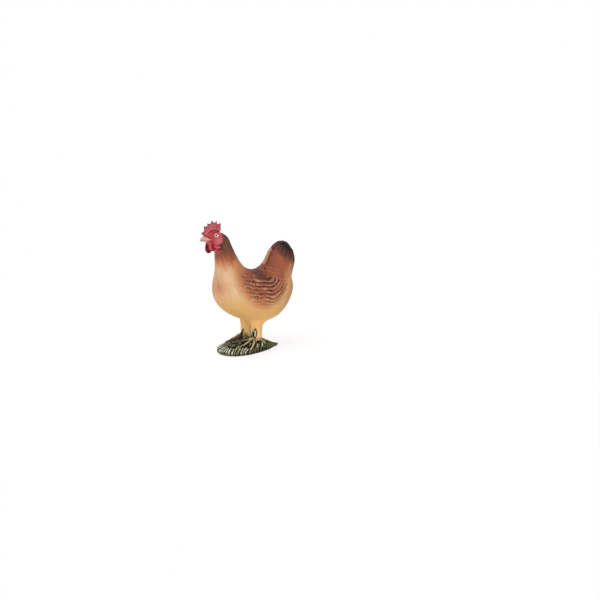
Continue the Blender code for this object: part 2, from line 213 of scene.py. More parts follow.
def rings_about(ribs, turn, groove=0.0):
    """Ovals about ribs, in mm, one row of points for each rib: along the rib by the cosine of the
    turn, across it by the sine, widened towards the front by the rib's pear share."""
    back = ribs[:, 0:2] + (0, BELLY_Z)
    front = ribs[:, 2:4] + (0, BELLY_Z)
    half = np.linalg.norm(back - front, axis=1)[:, None] / 2
    along = (back - front) / (2 * half)
    pear = ribs[:, 5:6]
    sweep = np.linspace(0, math.pi, SWEEP_STEPS)[None, :]
    widest = np.max(np.sin(sweep) * (1 - pear * np.cos(sweep)), axis=1)[:, None]
    across = ribs[:, 4:5] * np.sin(turn) * (1 - pear * np.cos(turn)) / widest
    valley = groove * bump_at(np.sin(turn / 2), 0, GROOVE_HALF_WIDTH)
    reach = half * np.cos(turn) - valley
    middle = (back + front) / 2
    return np.stack([
        across,
        middle[:, 0:1] + reach * along[:, 0:1],
        middle[:, 1:2] + reach * along[:, 1:2],
    ], axis=2)


def full_turn(around):
    """Turns all round, as one row."""
    return np.linspace(0, 2 * math.pi, around, endpoint=False)[None, :]


def hen_skin(first, last, rows, around):
    """The uncarved skin of the hen between two places, in mm, with each point's place and turn."""
    table = np.vstack([np.array(HEAD_RIBS) + FROM_COMB_POINT, BODY_RIBS, TAIL_RIBS])
    place = np.linspace(first, last, rows)
    turn = full_turn(around)
    fade_in = np.clip((place - TAIL_ROOT) / GROOVE_FADE_RIBS + 0.5, 0, 1)
    fade_out = np.clip(TAIL_END - 1 - place, 0, 1)
    groove = (TAIL_GROOVE * fade_in * fade_out)[:, None]
    points = rings_about(curve_rows(table, place), turn, groove)
    place, turn = np.broadcast_arrays(place[:, None], turn)
    wing = hump(place, WING_MIDDLE[0], WING_HALF[0]) * hump(fold(turn), WING_MIDDLE[1], WING_HALF[1])
    points[..., 0] += np.sign(math.pi - turn) * WING_SWELL * smooth(wing, 0, WING_FULL)
    return points, place, turn


def fold(turn):
    """The turn on the left side that mirrors this one: 0 to pi on both sides."""
    return np.minimum(turn, 2 * math.pi - turn)


def outward(points):
    """The unit normals of rings of points, facing away from each ring's middle."""
    along = np.gradient(points, axis=0)
    around = np.roll(points, -1, axis=1) - np.roll(points, 1, axis=1)
    normal = np.cross(around, along)
    length = np.linalg.norm(normal, axis=2, keepdims=True)
    normal = normal / np.maximum(length, 1e-12)
    away = points - points.mean(axis=1, keepdims=True)
    facing = np.sign(np.sum(normal * away, axis=2).mean())
    return normal * facing


def carve(points, height):
    """The points, each moved outwards by its height in mm."""
    return points + outward(points) * height[..., None]


def piece(name, points, finish, masks=None, replaced=()):
    """A closed mesh from rings of points in mm: quads between neighbouring rings, and a fan to a
    middle point at each end. Shading breaks at the two end rings, so that an end cap does not
    tint the skin. Masks are one number for each point, held from 0 to 1, and become attributes."""
    rows, around = points.shape[:2]
    ends = np.array([points[0].mean(axis=0), points[-1].mean(axis=0)])
    places = np.vstack([points.reshape(-1, 3), ends]) * MM
    index = np.arange(rows * around).reshape(rows, around)
    following = np.roll(index, -1, axis=1)
    quads = np.stack([index[:-1], following[:-1], following[1:], index[1:]], axis=-1).reshape(-1, 4)
    low = np.stack([following[0], index[0], np.full(around, rows * around)], axis=-1)
    high = np.stack([index[-1], following[-1], np.full(around, rows * around + 1)], axis=-1)
    caps = np.vstack([low, high])
    corner = places[quads]
    volume = np.einsum("ij,ij->", corner[:, 0], np.cross(corner[:, 1], corner[:, 2]))
    volume += np.einsum("ij,ij->", corner[:, 0], np.cross(corner[:, 2], corner[:, 3]))
    if volume < 0:
        quads = quads[:, ::-1]
        caps = caps[:, ::-1]
    mesh = bpy.data.meshes.new(name)
    mesh.from_pydata(places.tolist(), [], quads.tolist() + caps.tolist())
    mesh.polygons.foreach_set("use_smooth", np.ones(len(mesh.polygons), bool))
    for mask, values in (masks or {}).items():
        flat = np.broadcast_to(np.clip(values, 0, 1), (rows, around)).ravel()
        flat = np.append(flat, [flat[:around].mean(), flat[-around:].mean()])
        mesh.attributes.new(mask, "FLOAT", "POINT").data.foreach_set("value", flat.astype(np.float32))
    edges = np.empty(len(mesh.edges) * 2, np.int32)
    mesh.edges.foreach_get("vertices", edges)
    ring = edges.reshape(-1, 2) // around
    rim = (ring == 0).all(axis=1) | (ring == rows - 1).all(axis=1)
    mesh.attributes.new("sharp_edge", "BOOLEAN", "EDGE").data.foreach_set("value", rim)
    mesh.materials.append(finish)
    mesh.update()
    made = bpy.data.objects.new(name, mesh)
    bpy.context.scene.collection.objects.link(made)
    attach(made, "root")
    if replaced:
        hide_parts(*replaced)


# Node materials

SPECULAR_LEVEL = 0.2
GRAIN_HEIGHT = 0.05 * MM
WHITE = (1, 1, 1, 1)


def add_node(tree, kind, inputs=(), **settings):
    """A shader node with those settings, and its inputs linked to sockets or set to values."""
    made = tree.nodes.new("ShaderNode" + kind)
    for setting, value in settings.items():
        setattr(made, setting, value)
    for key, value in dict(inputs).items():
        if isinstance(value, bpy.types.NodeSocket):
            tree.links.new(value, made.inputs[key])
        else:
            made.inputs[key].default_value = value
    return made


class Finish:
    """A material under construction: a Principled shader and short calls that add nodes."""

    def __init__(self, name):
        self.material = bpy.data.materials.new(name)
        self.material.use_nodes = True
        self.tree = self.material.node_tree
        self.shader = self.tree.nodes["Principled BSDF"]
        self.shader.inputs["Specular IOR Level"].default_value = SPECULAR_LEVEL
        self.place = self.add("TexCoord").outputs["Object"]

    def add(self, kind, inputs=(), **settings):
        """A node of this material."""
        return add_node(self.tree, kind, inputs, **settings)

    def mask(self, name):
        """An attribute of the mesh."""
        return self.add("Attribute", attribute_name=name).outputs["Fac"]

    def noise(self, size, detail=3.0):
        """Noise of that size in mm, from 0 to 1."""
        scale = 1 / (size * MM)
        mapping = self.add("Mapping", {"Vector": self.place, "Scale": (scale, scale, scale)})
        inputs = {"Vector": mapping.outputs["Vector"], "Scale": 1.0, "Detail": detail}
        return self.add("TexNoise", inputs).outputs["Fac"]

    def span(self, value, low, high, to_low=0.0, to_high=1.0):
        """The value, mapped from low and high to other ends, and held there beyond them."""
        inputs = {"Value": value, "From Min": low, "From Max": high,
                  "To Min": to_low, "To Max": to_high}
        return self.add("MapRange", inputs, interpolation_type="SMOOTHSTEP").outputs["Result"]

    def speckled(self, mask, speckle, *ends):
        """A mask, broken up by a noise that is mapped to those ends."""
        inputs = {0: self.mask(mask), 1: self.span(speckle, *ends)}
        return self.add("Math", inputs, operation="MULTIPLY", use_clamp=True).outputs[0]

    def mix(self, share, under, over):
        """The colour under, covered by the colour over by that share."""
        return self.add("Mix", {0: share, 6: under, 7: over}, data_type="RGBA").outputs[2]

    def clouded(self, paint, over, size, low, high, most=1.0, detail=3.0):
        """The paint, covered by the colour over in clouds of that size in mm."""
        return self.mix(self.span(self.noise(size, detail), low, high, 0.0, most), paint, over)

    def coats(self, paint, *coats):
        """The paint under further coats, each a mask and its colour."""
        for mask, over in coats:
            paint = self.mix(self.mask(mask), paint, over)
        return paint

    def done(self, paint, patches, grain):
        """Connects the colour, a roughness in patches, and the height of a fine grain. Patches are
        their size in mm and the least and the most roughness. Grain is its size in mm, the detail
        of its noise and its strength."""
        size, least, most = patches
        roughness = self.span(self.noise(size), 0.2, 0.8, least, most)
        size, detail, strength = grain
        inputs = {"Strength": strength, "Distance": GRAIN_HEIGHT, "Height": self.noise(size, detail)}
        normal = self.add("Bump", inputs).outputs["Normal"]
        for name, value in (("Base Color", paint), ("Roughness", roughness), ("Normal", normal)):
            self.tree.links.new(value, self.shader.inputs[name])
        return self.material


PEACH = colour(213, 171, 128)
PALE_PEACH = colour(220, 182, 141)
GOLD = colour(221, 172, 106)
BLUSH = colour(192, 116, 84)
# Paler gold for the low belly: painted fill light from below.
PALE_GOLD_PAINTED_LIGHT = colour(248, 196, 128)
ORANGE_TAN = colour(198, 133, 89)
RED_BROWN = colour(160, 88, 60)
DARK_BROWN = colour(88, 43, 34)
BLACK = colour(22, 16, 16)
CHARCOAL = colour(118, 98, 90)
WASH_AND_SHADE = colour(66, 18, 8)
DRY_BRUSH_AND_HIGHLIGHT = colour(242, 190, 150)


def plumage_finish():
    """Airbrushed feather paint: peach and gold under red-brown, dark brown and black, with the low
    belly in a paler gold as painted fill light, a dark wash in the carved lines that in the wing's
    valleys is also painted shade, and a pale dry-brush on their edges that on the wing's rows is
    a painted highlight on the side that light from above catches."""
    f = Finish("plumage_paint")
    speckle = f.noise(0.5)
    paint = f.clouded(PEACH, PALE_PEACH, 3.0, 0.3, 0.7, detail=2.0)
    # The low coat is the paler gold, painted fill light under the belly.
    paint = f.coats(paint, ("gold", GOLD), ("low", PALE_GOLD_PAINTED_LIGHT), ("blush", BLUSH), ("tan", ORANGE_TAN),
                    ("brown", RED_BROWN), ("dark", DARK_BROWN), ("black", BLACK))
    paint = f.mix(f.speckled("grey", speckle, 0.35, 0.7), paint, CHARCOAL)
    # Dark wash in the carved lines; in the wing's valleys it is also painted shade.
    paint = f.mix(f.speckled("groove", speckle, 0.1, 0.6, 0.55, 1.0), paint, WASH_AND_SHADE)
    # Pale dry-brush on the edges; on the wing's rows it is a painted highlight.
    paint = f.mix(f.speckled("edge", speckle, 0.25, 0.55), paint, DRY_BRUSH_AND_HIGHLIGHT)
    return f.done(paint, patches=(0.8, 0.42, 0.6), grain=(0.16, 2.0, 0.12))


# The plumage

def side_view(points):
    """Each point's y and z in mm, which is where the side view shows it."""
    return points[..., 1], points[..., 2]


# Rows of wing feathers: their spacing, the height of one valley, how steeply they sink to the
# rear, and the middle, width over height and softness of the ovals in which they turn upwards.
ROW_PITCH = 1.3
ROW_START = -0.86
ROW_SINK = 0.16
OVAL_Y = 6.0
OVAL_Z = 29.0
OVAL_WIDTH = 0.93
OVAL_SOFT = 0.5

# The middle of ovals so far to the rear that no row turns upwards.
NO_OVAL = 40.0

# The length of the feathers in the front of the wing, where they begin to lengthen, and how fast.
FEATHER_LENGTH = 1.2
FEATHER_LONGER_Y = 1.0
FEATHER_GROWTH = 0.3

# Half the width of the valley between two rows, in rows, and of the gap at a tip, in mm.
VALLEY_HALF = 0.19
TIP_HALF = 0.3


def wing_rows(y, z, oval_y):
    """A number that counts rows of wing feathers from below upwards. Its level lines run along
    the wing and sink to the rear as far as the ovals' middle, and turn upwards behind it, nested
    one in the other. Returns it with a share from 0 along the wing to 1 where they run upright."""
    ripple = 0.16 + 0.2 * fall(y, -1.0, 5.0)
    wander = 0.3 * lattice_noise(3.4, 11, y, z * 1.8) + ripple * lattice_noise(1.1, 12, y, z * 1.6)
    behind = OVAL_SOFT * np.logaddexp(0, (y - oval_y) / OVAL_SOFT)
    below = OVAL_Z - z - ROW_SINK * (y - oval_y - behind)
    reach = np.hypot(behind / OVAL_WIDTH, np.maximum(below, 0)) + np.minimum(below, 0)
    level = OVAL_Z + ROW_SINK * oval_y - reach + wander
    turned = behind**2 / (behind**2 + np.maximum(below, 0.5) ** 2)
    return (level - ROW_START) / ROW_PITCH, turned


def wing_feathers(y, z, oval_y=OVAL_Y):
    """Rows of overlapping feathers. Across a row the height is a rounded ridge between two narrow
    valleys. Along it each feather rises towards its rounded tip and drops to the next: short
    feathers in front, long ones behind. Returns the height, the valleys, which take the wash and
    painted shade, and the upper edges, which take a painted highlight."""
    rows, turned = wing_rows(y, z, oval_y)
    row = np.round(rows)
    across = rows - row
    length = FEATHER_LENGTH + FEATHER_GROWTH * np.clip(y - FEATHER_LONGER_Y, 0, None)
    count = np.log(length / FEATHER_LENGTH) / FEATHER_GROWTH
    count = count + np.minimum(y - FEATHER_LONGER_Y, 0) / FEATHER_LENGTH
    count = count + 0.5 * row + 0.3 * wobble(13, row * 3.7, row)
    count = count + 2 * across**2 / length
    along = count - np.floor(count)
    strong = smooth(wobble(14, count * 1.2 + row * 5.3, row * 1.7), -0.8, 0.1)
    wide = 1 + 0.5 * turned
    # The valley between two rows, where the wash and painted shade under each feather's edge go.
    valley = bump_at(np.abs(across), 0.5, VALLEY_HALF * wide)
    tip = bump_at(along, 0.04, TIP_HALF / length) + bump_at(along, 1.04, TIP_HALF / length)
    brushed = 0.65 + 0.35 * wobble(15, count * 1.4 + row * 4.1, row * 2.3)
    # The edge just above a valley, which light from above catches: a painted highlight goes here.
    upper = bump_at(across, 0.12 * turned - 0.24, 0.12 * wide) * brushed
    barb = 0.5 + 0.5 * wobble(16, count * 2.3 + row * 3.3, row * 1.9)
    barb = barb * bump_at(across, 0.14, 0.1) * (1 - turned)
    height = (1 - valley) * (0.7 + 0.3 * along) - 0.15 * tip - 0.25 * barb
    front = fall(y, -1.5, 4.0)
    lines = valley * (1 - 0.55 * front) + (0.5 + 0.2 * front) * barb + (0.25 + 0.2 * front) * tip
    return height * strong, np.clip(lines, 0, 1) * strong, upper * strong


def wing_border(y, rear):
    """The height of a wing's lower border: lowest at y = 4 mm, rising as a square both ways, and
    by that factor behind."""
    return 20.6 + np.where(y < 4, 0.06, rear) * (y - 4) ** 2


def wing_region(y, z):
    """Where the wing's feathers are carved: fades out along all four borders."""
    top = z + 0.2 * y + 0.3 * np.maximum(y - 7, 0)
    return (smooth(y, -6.8, -2.4) * smooth(z - wing_border(y, 0.035), -4.4, -0.4)
            * fall(top, 28.4, 30.2) * fall(y + 0.1 * (z - 22), 12.2, 14.0))


def streaks(place, turn, count, seed):
    """Feather lines that run along the hen: a ridge for each of count steps about it, wandering a
    little with the place. Returns a height from 0 in the lines to 1 on the ridges."""
    side = np.sign(math.pi - turn)
    lanes = fold(turn) * count / math.pi + 0.5 * wobble(seed, place * 1.3, turn * count / 9)
    lane = np.floor(lanes)
    across = np.abs(lanes - lane - 0.5)
    strong = smooth(wobble(seed + 1, place * 1.1 + lane * 3.1, lane + side * 40), -0.8, 0.6)
    return 1 - strong * bump_at(across, 0.5, 0.2)


def far_fan_edge(place, turn):
    """The front edge of the tail's right fan: a pale strip along the middle, the dark line between
    it and the left fan, and a dark notch at each end. Returns the strip, the line, the notches."""
    signed = np.where(turn > math.pi, turn - 2 * math.pi, turn)
    rib = between(signed, -0.6, -0.1, 0.22, 0.36) * between(place, 13.8, 14.3, 17.25, 17.5)
    groove = 0.6 * bump_at(signed, 0.41, 0.08) * between(place, 13.9, 14.3, 18.0, 19.0)
    notch = (bump_at(place, 17.6, 0.14) + bump_at(place, 13.9, 0.16)) * bump_at(signed, 0.25, 0.4)
    return rib, groove, notch


# Stretches along the hen in which each kind of feather line fades in and out, by place.
HACKLE = (4.9, 5.4, 8.4, 10.0)
PLUME = (5.5, 7.0, 11.0, 13.0)
BREAST = (6.5, 8.5, 12.5, 14.5)
SADDLE = (8.8, 10.2, 14.5, 16.5)
FLUFF = (12.5, 14.5, 17.5, 18.5)
FLANK = (14.0, 15.2)
FAN = (17.0, 18.5)

# Places in the side view, each the middle of a soft oval spot and its size in mm: where the
# wing's feathers are deepest, where their painted highlights are brushed palest, and the flecks
# of the breast.
WING_CORE = ((8.3, 23.8), (8.64, 5.4))
WING_LIGHT = ((8.8, 23.5), (7.14, 4.2))
BREAST_FLECKS = ((-5.5, 23.0), (4.0, 4.0))

# The lines that run with the feathers: how many go about the hen, and the seed of their wander.
# In order the nape, the back, the flank, the tail's quills and barbs, the fluff and the plumes.
FEATHER_LINES = ((30, 21), (34, 31), (19, 41), (9, 51), (46, 61), (24, 81), (64, 111))

# How deep each form is carved in mm, how dark the wash is in it, which in the wing's valleys is
# also painted shade, and how pale the brushing on it, which on the wing's rows is a painted
# highlight.
DEPTHS = {"wing": 0.5, "hackle": 0.16, "saddle": 0.1, "flank": 0.22, "quill": 0.2, "barb": 0.07,
          "down": 0.06, "plume": 0.05, "fluff": 0.14, "rib": 0.12, "groove": 0.3, "notch": 0.25,
          "rough": 0.06}
WASHES = {"wing": 1.8, "arcs": 1.1, "hackle": 0.65, "plume": 0.1, "flank": 0.4, "saddle": 0.35,
          "quill": 0.3, "fluff": 0.16, "groove": 0.9, "notch": 0.9}
BRUSHINGS = {"wing": 0.6, "light": 0.5, "arcs": 0.7, "flank": 0.15, "flecks": 0.4, "rib": 0.5,
             "hackle": 0.1}


def weighed(weights, forms):
    """The sum of the forms, each times its weight in the table."""
    return sum(weights[name] * form for name, form in forms.items())


def carve_plumage(points, place, turn):
    """The carved height of each skin point in mm, and the painter's masks."""
    y, z = side_view(points)
    folded = fold(turn)
    side = points[..., 0]
    wing = wing_region(y, z)
    core = 0.55 + 0.45 * spot(y, z, *WING_CORE)
    feather, valley, upper = wing_feathers(y, z + 0.02 * np.sign(side))
    high_feather, high_valley, high_upper = wing_feathers(y, z + 0.12 * y, NO_OVAL)
    lines = (streaks(place, turn, count, seed) for count, seed in FEATHER_LINES)
    nape, back, drape, quill, barbs, tufts, fine = lines
    above = z + 0.32 * y
    fan = smooth(place, *FAN)
    hackle = between(place, *HACKLE)
    saddle = between(place, *SADDLE) * fall(folded, 0.9, 1.4) * (1 - back)
    flank = smooth(place, *FLANK) * between(folded, 0.6, 1.1, 2.4, 2.9) * (1 - wing) * (1 - fan)
    flank = flank * (0.35 + 0.65 * smooth(y, 9.0, 12.0)) * fall(above, 27.5, 30.5)
    arcs = 0.22 * between(above, 28.4, 30.4, 33.5, 36.5) * smooth(y, -1.0, 3.0)
    arcs = arcs * fall(y + 0.1 * (z - 22), 12.5, 14.5)
    plume = between(place, *PLUME) * (1 - wing) * (1 - fine)
    down = 0.5 * wobble(71, folded * 9, place * 3.2, np.sign(side))
    down = down + 0.5 * rough_noise(1.3, 72, side, y, z)
    flecks = smooth(wobble(121, folded * 24, place * 2.6, np.sign(side)), 0.3, 0.7)
    fluff = between(place, *FLUFF) * smooth(folded, 2.0, 2.4) * (1 - tufts)
    rib, groove, notch = far_fan_edge(place, turn)
    masks = paint_plumage(points, place, turn)
    painted = smooth(masks["brown"] + masks["dark"], 0.05, 0.7)
    blade = fan * (0.08 + 0.92 * masks["dark"])
    height = weighed(DEPTHS, {
        "wing": wing * core * (feather - 0.45) + arcs * (high_feather - 0.45),
        "hackle": -hackle * (1 - nape),
        "saddle": -saddle * (1 - wing),
        "flank": flank * (drape - 0.75),
        "quill": blade * (quill - 0.6),
        "barb": blade * (barbs - 0.6),
        "down": between(place, *BREAST) * (1 - wing) * down,
        "plume": -plume,
        "fluff": -fluff,
        "rib": rib,
        "groove": -groove,
        "notch": -notch,
        "rough": rough_noise(2.6, 91, side, y, z),
    })
    # The wash, which in the wing's valleys is also painted shade under each feather's edge.
    masks["groove"] = weighed(WASHES, {
        "wing": wing * core * valley * (0.4 + 0.6 * painted),
        "arcs": arcs * high_valley,
        "hackle": hackle * (1 - nape) * painted,
        "plume": plume,
        "flank": flank * (1 - drape),
        "saddle": saddle,
        "quill": blade * (1 - quill),
        "fluff": fluff,
        "groove": groove,
        "notch": notch,
    })
    # The pale brushing, which on the wing's rows is a painted highlight where light from above falls.
    masks["edge"] = weighed(BRUSHINGS, {
        "wing": wing * upper,
        "light": wing * upper * spot(y, z, *WING_LIGHT),
        "arcs": arcs * high_upper,
        "flank": flank * drape,
        "flecks": flecks * spot(y, z, *BREAST_FLECKS) * (1 - wing),
        "rib": rib,
        "hackle": hackle * nape * masks["dark"] * (1 - masks["black"]),
    })
    return height, masks


# Where each sprayed colour begins and ends, as the two ends of a smooth step: in places along the
# hen, in radians about it, or in mm along y, z or a slanting line.
BORDERS = {
    "neck": (9.0, 10.5),
    "back": (0.5, 1.2),
    "tan_neck": (30.6, 34.2),
    "tan_wing": (-5.4, -1.2),
    "tan_front": (-8.8, -5.4),
    "tan_rump": (10.6, 14.6),
    "tan_rump_foot": (14.0, 20.0),
    "brown_neck": (33.4, 36.6),
    "brown_wing": (-2.8, 3.4),
    "brown_front": (-7.0, -1.0),
    "nape_foot": (29.5, 31.5),
    "rump": (10.3, 13.6),
    "rump_top": (28.5, 32.0),
    "dark_neck": (35.9, 39.0),
    "dark_throat": (1.9, 2.5),
    "dark_tip": (-1.0, 2.0),
    "dark_tail": (13.5, 15.0),
    "fan_front": (0.5, 1.3),
    "fan_foot": (29.5, 32.0),
    "dark_rim": (25.0, 29.6),
    "rim": (2.0, 2.6),
    "rim_start": (17.0, 18.4),
    "black_nape": (0.3, 0.85),
    "black_nape_foot": (33.0, 37.0),
    "black_tip": (1.6, 4.4),
    "black_rim": (30.5, 33.5),
    "crown": (0.3, 0.75),
    "crown_start": (18.8, 19.6),
    "tail_end": (21.2, 21.8),
    "grey": (0.0, 1.2),
    "grey_end": (2.5, 4.5),
    "blush": (7.0, 10.5),
    "gold": (16.8, 23.4),
    "gold_rump": (6.0, 12.0),
    "low": (10.5, 16.0),
}


def within(value, border):
    """1 beyond a sprayed colour's border, 0 before it."""
    return smooth(value, *BORDERS[border])


def before(value, border):
    """1 before a sprayed colour's border, 0 beyond it."""
    return fall(value, *BORDERS[border])


def paint_plumage(points, place, turn):
    """Where each colour is sprayed. Borders are soft steps along y, z or a slanting line, made
    ragged by streaks that run with the feathers."""
    y, z = side_view(points)
    folded = fold(turn)
    side = points[..., 0]
    ragged = wobble(101, folded * 11, place * 0.9, np.sign(side))
    ragged = ragged + 0.5 * wobble(103, folded * 24, place * 1.4, np.sign(side))
    cloud = rough_noise(3.0, 102, side, y, z)
    neck = before(place, "neck")
    hem = z + 0.8 * ragged + 0.5 * cloud
    above = z - wing_border(y, 0.085) + 0.9 * cloud + 0.35 * ragged
    across = (z - 28.8 + 0.54 * (y - 3.3)) * 0.88 + 0.4 * cloud
    tip = (y - 12.3) * 0.62 + (z - 33.9) * 0.78 + 0.4 * ragged + 0.5 * cloud
    rump = within(y - 0.28 * (z - 26), "rump") * before(z, "rump_top")
    rim = within(folded, "rim") * within(place, "rim_start")
    band = np.where(across > 0, bump_at(across, 0, 2.3), bump_at(across, 0, 2.0))
    band = band * bump_at(y, 3.0, 3.9)
    fan_front = before(folded, "fan_front") * within(z, "fan_foot")
    crown = within(place, "crown_start") * before(folded, "crown")
    crown = np.maximum(crown, within(place, "tail_end"))
    nape = before(folded + 0.1 * ragged, "black_nape") * within(z, "black_nape_foot")
    tans = (
        neck * within(hem + 1.8 * before(folded, "back"), "tan_neck"),
        within(above, "tan_wing") * within(y + 0.4 * cloud, "tan_front"),
        0.85 * within(y - 0.2 * (z - 20), "tan_rump") * within(z, "tan_rump_foot"),
    )
    browns = (
        neck * within(hem, "brown_neck"),
        within(above, "brown_wing") * within(y + 0.5 * cloud, "brown_front")
        * (1 - 0.8 * neck * within(z, "nape_foot")),
    )
    darks = (
        0.95 * neck * within(hem, "dark_neck") * before(folded + 0.12 * ragged, "dark_throat"),
        1.05 * band,
        0.95 * within(tip, "dark_tip"),
        within(place, "dark_tail") * (0.12 * (1 - rump) + 0.4 * fan_front),
        0.8 * rim * within(z + 1.6 * ragged + 0.6 * cloud, "dark_rim"),
    )
    blacks = (
        0.9 * neck * nape,
        within(tip, "black_tip"),
        0.95 * rim * within(z, "black_rim"),
        0.85 * crown,
    )
    golds = (before(z + 0.12 * y + 0.7 * cloud, "gold"), 0.5 * within(y, "gold_rump"))
    masks = {
        "tan": np.maximum.reduce(tans),
        "brown": np.maximum.reduce(browns) * (1 - 0.5 * rump),
        "dark": np.maximum.reduce(darks),
        "black": np.maximum.reduce(blacks),
        "grey": 0.9 * within(tip, "grey") * before(tip, "grey_end") * smooth(ragged, 0.0, 0.5),
        "blush": 0.75 * spot(z, np.abs(side), (24.9, 3.3), (2.7, 3.0)) * within(-y, "blush"),
        "gold": np.maximum.reduce(golds),
        # The low belly painted paler: a painted fill light.
        "low": before(z + 0.5 * cloud, "low"),
    }
    return {name: np.clip(mask, 0, 1) for name, mask in masks.items()}


# How far the neck feathers start over the face, in ribs.
NECK_LIP = 0.14

# The round edge of the tail: its depth at the sides and how much more it is in the middle, in mm,
# its rows, and how far round it goes.
TAIL_EDGE = (0.1, 0.65)
TAIL_EDGE_ROWS = 6
TAIL_EDGE_ARC = math.radians(82)


def rounded_edge(points, masks, turn):
    """More rows beyond the last, for a blade with a round edge: the width shrinks by a cosine
    while the row moves outward by a sine, farthest in the middle of the blade."""
    way = points[-1] - points[-4]
    depth = TAIL_EDGE[0] + TAIL_EDGE[1] * np.sin(fold(turn[-1]))[:, None]
    way = depth * way / np.linalg.norm(way, axis=1, keepdims=True)
    angle = np.linspace(0, TAIL_EDGE_ARC, TAIL_EDGE_ROWS + 1)[1:, None, None]
    more = points[-1] + way * np.sin(angle)
    more[..., 0] *= np.cos(angle[..., 0])
    masks = {name: np.concatenate([mask, np.repeat(mask[-1:], TAIL_EDGE_ROWS, axis=0)])
             for name, mask in masks.items()}
    return np.concatenate([points, more]), masks


def plumage_piece(node, first, last, finish):
    """A carved stretch of the hen's feathered skin. At the neck it starts on the face as ragged
    feather tips, with a lip and a fuller mane. At the tail it is a little fuller at the rear and
    lower on the back, and ends in a round edge."""
    points, place, turn = hen_skin(first, last, *GRIDS[node])
    folded = fold(turn)
    height, masks = carve_plumage(points, place, turn)
    carved = carve(points, height)
    if node == "body":
        along = np.gradient(carved, axis=0) / np.gradient(place, axis=0)[..., None]
        lanes = 0.1 * wobble(151, folded * 12, np.sign(math.pi - turn))
        carved = carved - along * ((0.1 + lanes) * fall(place, first, first + 0.5))[..., None]
        lip = 0.13 * fall(place, first + 0.02, first + 0.9) * smooth(folded, 0.3, 0.9)
        lip = lip - 0.35 * fall(place, first, first + 0.04)
        mane = 0.32 * bump_at(place, 5.9, 0.8) * fall(folded, 0.3, 1.1)
        carved = carved + outward(points) * (lip + mane)[..., None]
    else:
        back = fall(folded, 0.2, 1.1) * smooth(place, TAIL_END - 2.5, TAIL_END - 1)
        rear = bump_at(place, 19.8, 1.1) * smooth(folded, 2.1, 3.0)
        carved = carved + (0, 0.4, 0) * rear[..., None] - (0, 0, 0.35) * back[..., None]
        carved, masks = rounded_edge(carved, masks, turn)
    piece(f"{node}_plumage", carved, finish, masks, (node,))


# Head, comb, beak, wattles and eyes

FLESH = colour(178, 50, 58)
DEEP_RED = colour(120, 14, 26)
ROSE = colour(208, 116, 122)
CHEEK = colour(206, 108, 116)
COMB_RED = colour(172, 62, 72)
COMB_TIP = colour(92, 22, 40)
WATTLE_RED = colour(166, 28, 42)
# Painted highlight on the wattles' front edges, and painted shade on their inner sides.
WATTLE_HIGHLIGHT = colour(216, 108, 116)
WATTLE_SHADE = colour(104, 4, 14)
NAPE_BROWN = colour(84, 48, 40)


def flesh_finish(name, base, light, deep):
    """Red skin paint: a lighter rose brushed over, which on the face's folds and lobe and on the
    wattles' front edges is a painted highlight, a dark wash in the folds, which on the face and on
    the wattles' inner sides is also painted shade, and brown where the first neck feathers lie
    over it."""
    f = Finish(name)
    paint = f.clouded(base, light, 1.6, 0.35, 0.7, most=0.3, detail=2.0)
    paint = f.coats(paint, ("light", light), ("deep", deep), ("nape", NAPE_BROWN))
    return f.done(paint, patches=(0.6, 0.34, 0.5), grain=(0.2, 3.0, 0.2))


def crease(y, z, line, width):
    """How near a point of the side view is to a line of joined points: 1 on it, then a bell."""
    nearest = np.full(y.shape, np.inf)
    for (y0, z0), (y1, z1) in zip(line[:-1], line[1:]):
        length = (y1 - y0) ** 2 + (z1 - z0) ** 2
        along = np.clip(((y - y0) * (y1 - y0) + (z - z0) * (z1 - z0)) / length, 0, 1)
        away = np.hypot(y - y0 - along * (y1 - y0), z - z0 - along * (z1 - z0))
        nearest = np.minimum(nearest, away)
    return bump_at(nearest, 0, width)


# Lines on the face in the side view: height in mm, share of light paint, a painted highlight on
# the raised folds, or (negative) of deep paint, deep red paint and painted shade in the creases,
# half width, and the points. First the line past the beak's corner, then lids, wrinkles and ear
# folds.
FACE_LINES = (
    (-0.22, -0.85, 0.2, ((-16.2, 44.1), (-15.5, 43.6), (-15.0, 42.6), (-14.5, 41.6), (-14.0, 40.4),
                         (-13.9, 39.2))),
    (-0.12, -0.7, 0.15, ((-14.1, 44.2), (-13.6, 44.85), (-12.8, 45.0), (-11.9, 44.5))),
    (0.12, 0.3, 0.16, ((-14.3, 44.7), (-13.6, 45.3), (-12.6, 45.4), (-11.6, 44.9))),
    (-0.1, -0.55, 0.15, ((-13.9, 43.3), (-13.2, 42.85), (-12.3, 43.0), (-11.4, 43.5))),
    (0.1, 0.5, 0.2, ((-13.8, 42.7), (-13.0, 42.3), (-12.0, 42.5), (-11.2, 43.0))),
    (-0.1, -0.45, 0.14, ((-13.5, 42.0), (-12.8, 41.7), (-12.0, 41.9))),
    (-0.06, -0.3, 0.12, ((-11.9, 43.9), (-10.9, 43.6))),
    (-0.06, -0.3, 0.12, ((-11.6, 42.6), (-10.8, 42.2))),
    (-0.06, -0.3, 0.12, ((-14.6, 44.3), (-15.3, 44.2))),
    (-0.2, -0.7, 0.22, ((-13.4, 40.5), (-12.9, 40.3), (-12.3, 40.6), (-11.7, 40.3))),
    (0.34, 0.95, 0.22, ((-13.2, 40.1), (-12.6, 39.6), (-12.2, 40.1), (-11.6, 39.9))),
    (-0.2, -0.9, 0.2, ((-13.3, 39.4), (-12.8, 39.0), (-12.1, 39.3), (-11.6, 39.2))),
    (0.28, 0.8, 0.22, ((-13.0, 38.6), (-12.7, 38.1))),
)

# Soft spots on the face in the side view: the middle and the size in mm.
CHEEK_SPOT = ((-12.0, 42.0), (1.2, 1.3))
CHEEK_LIGHT = ((-12.1, 42.4), (1.5, 1.9))
LOBE = ((-16.2, 44.0), (0.8, 0.45))
BEAK_HOLLOW = ((-15.9, 42.4), (0.8, 0.9))
EYE_SHADE = ((-14.2, 43.0), (1.0, 1.4))


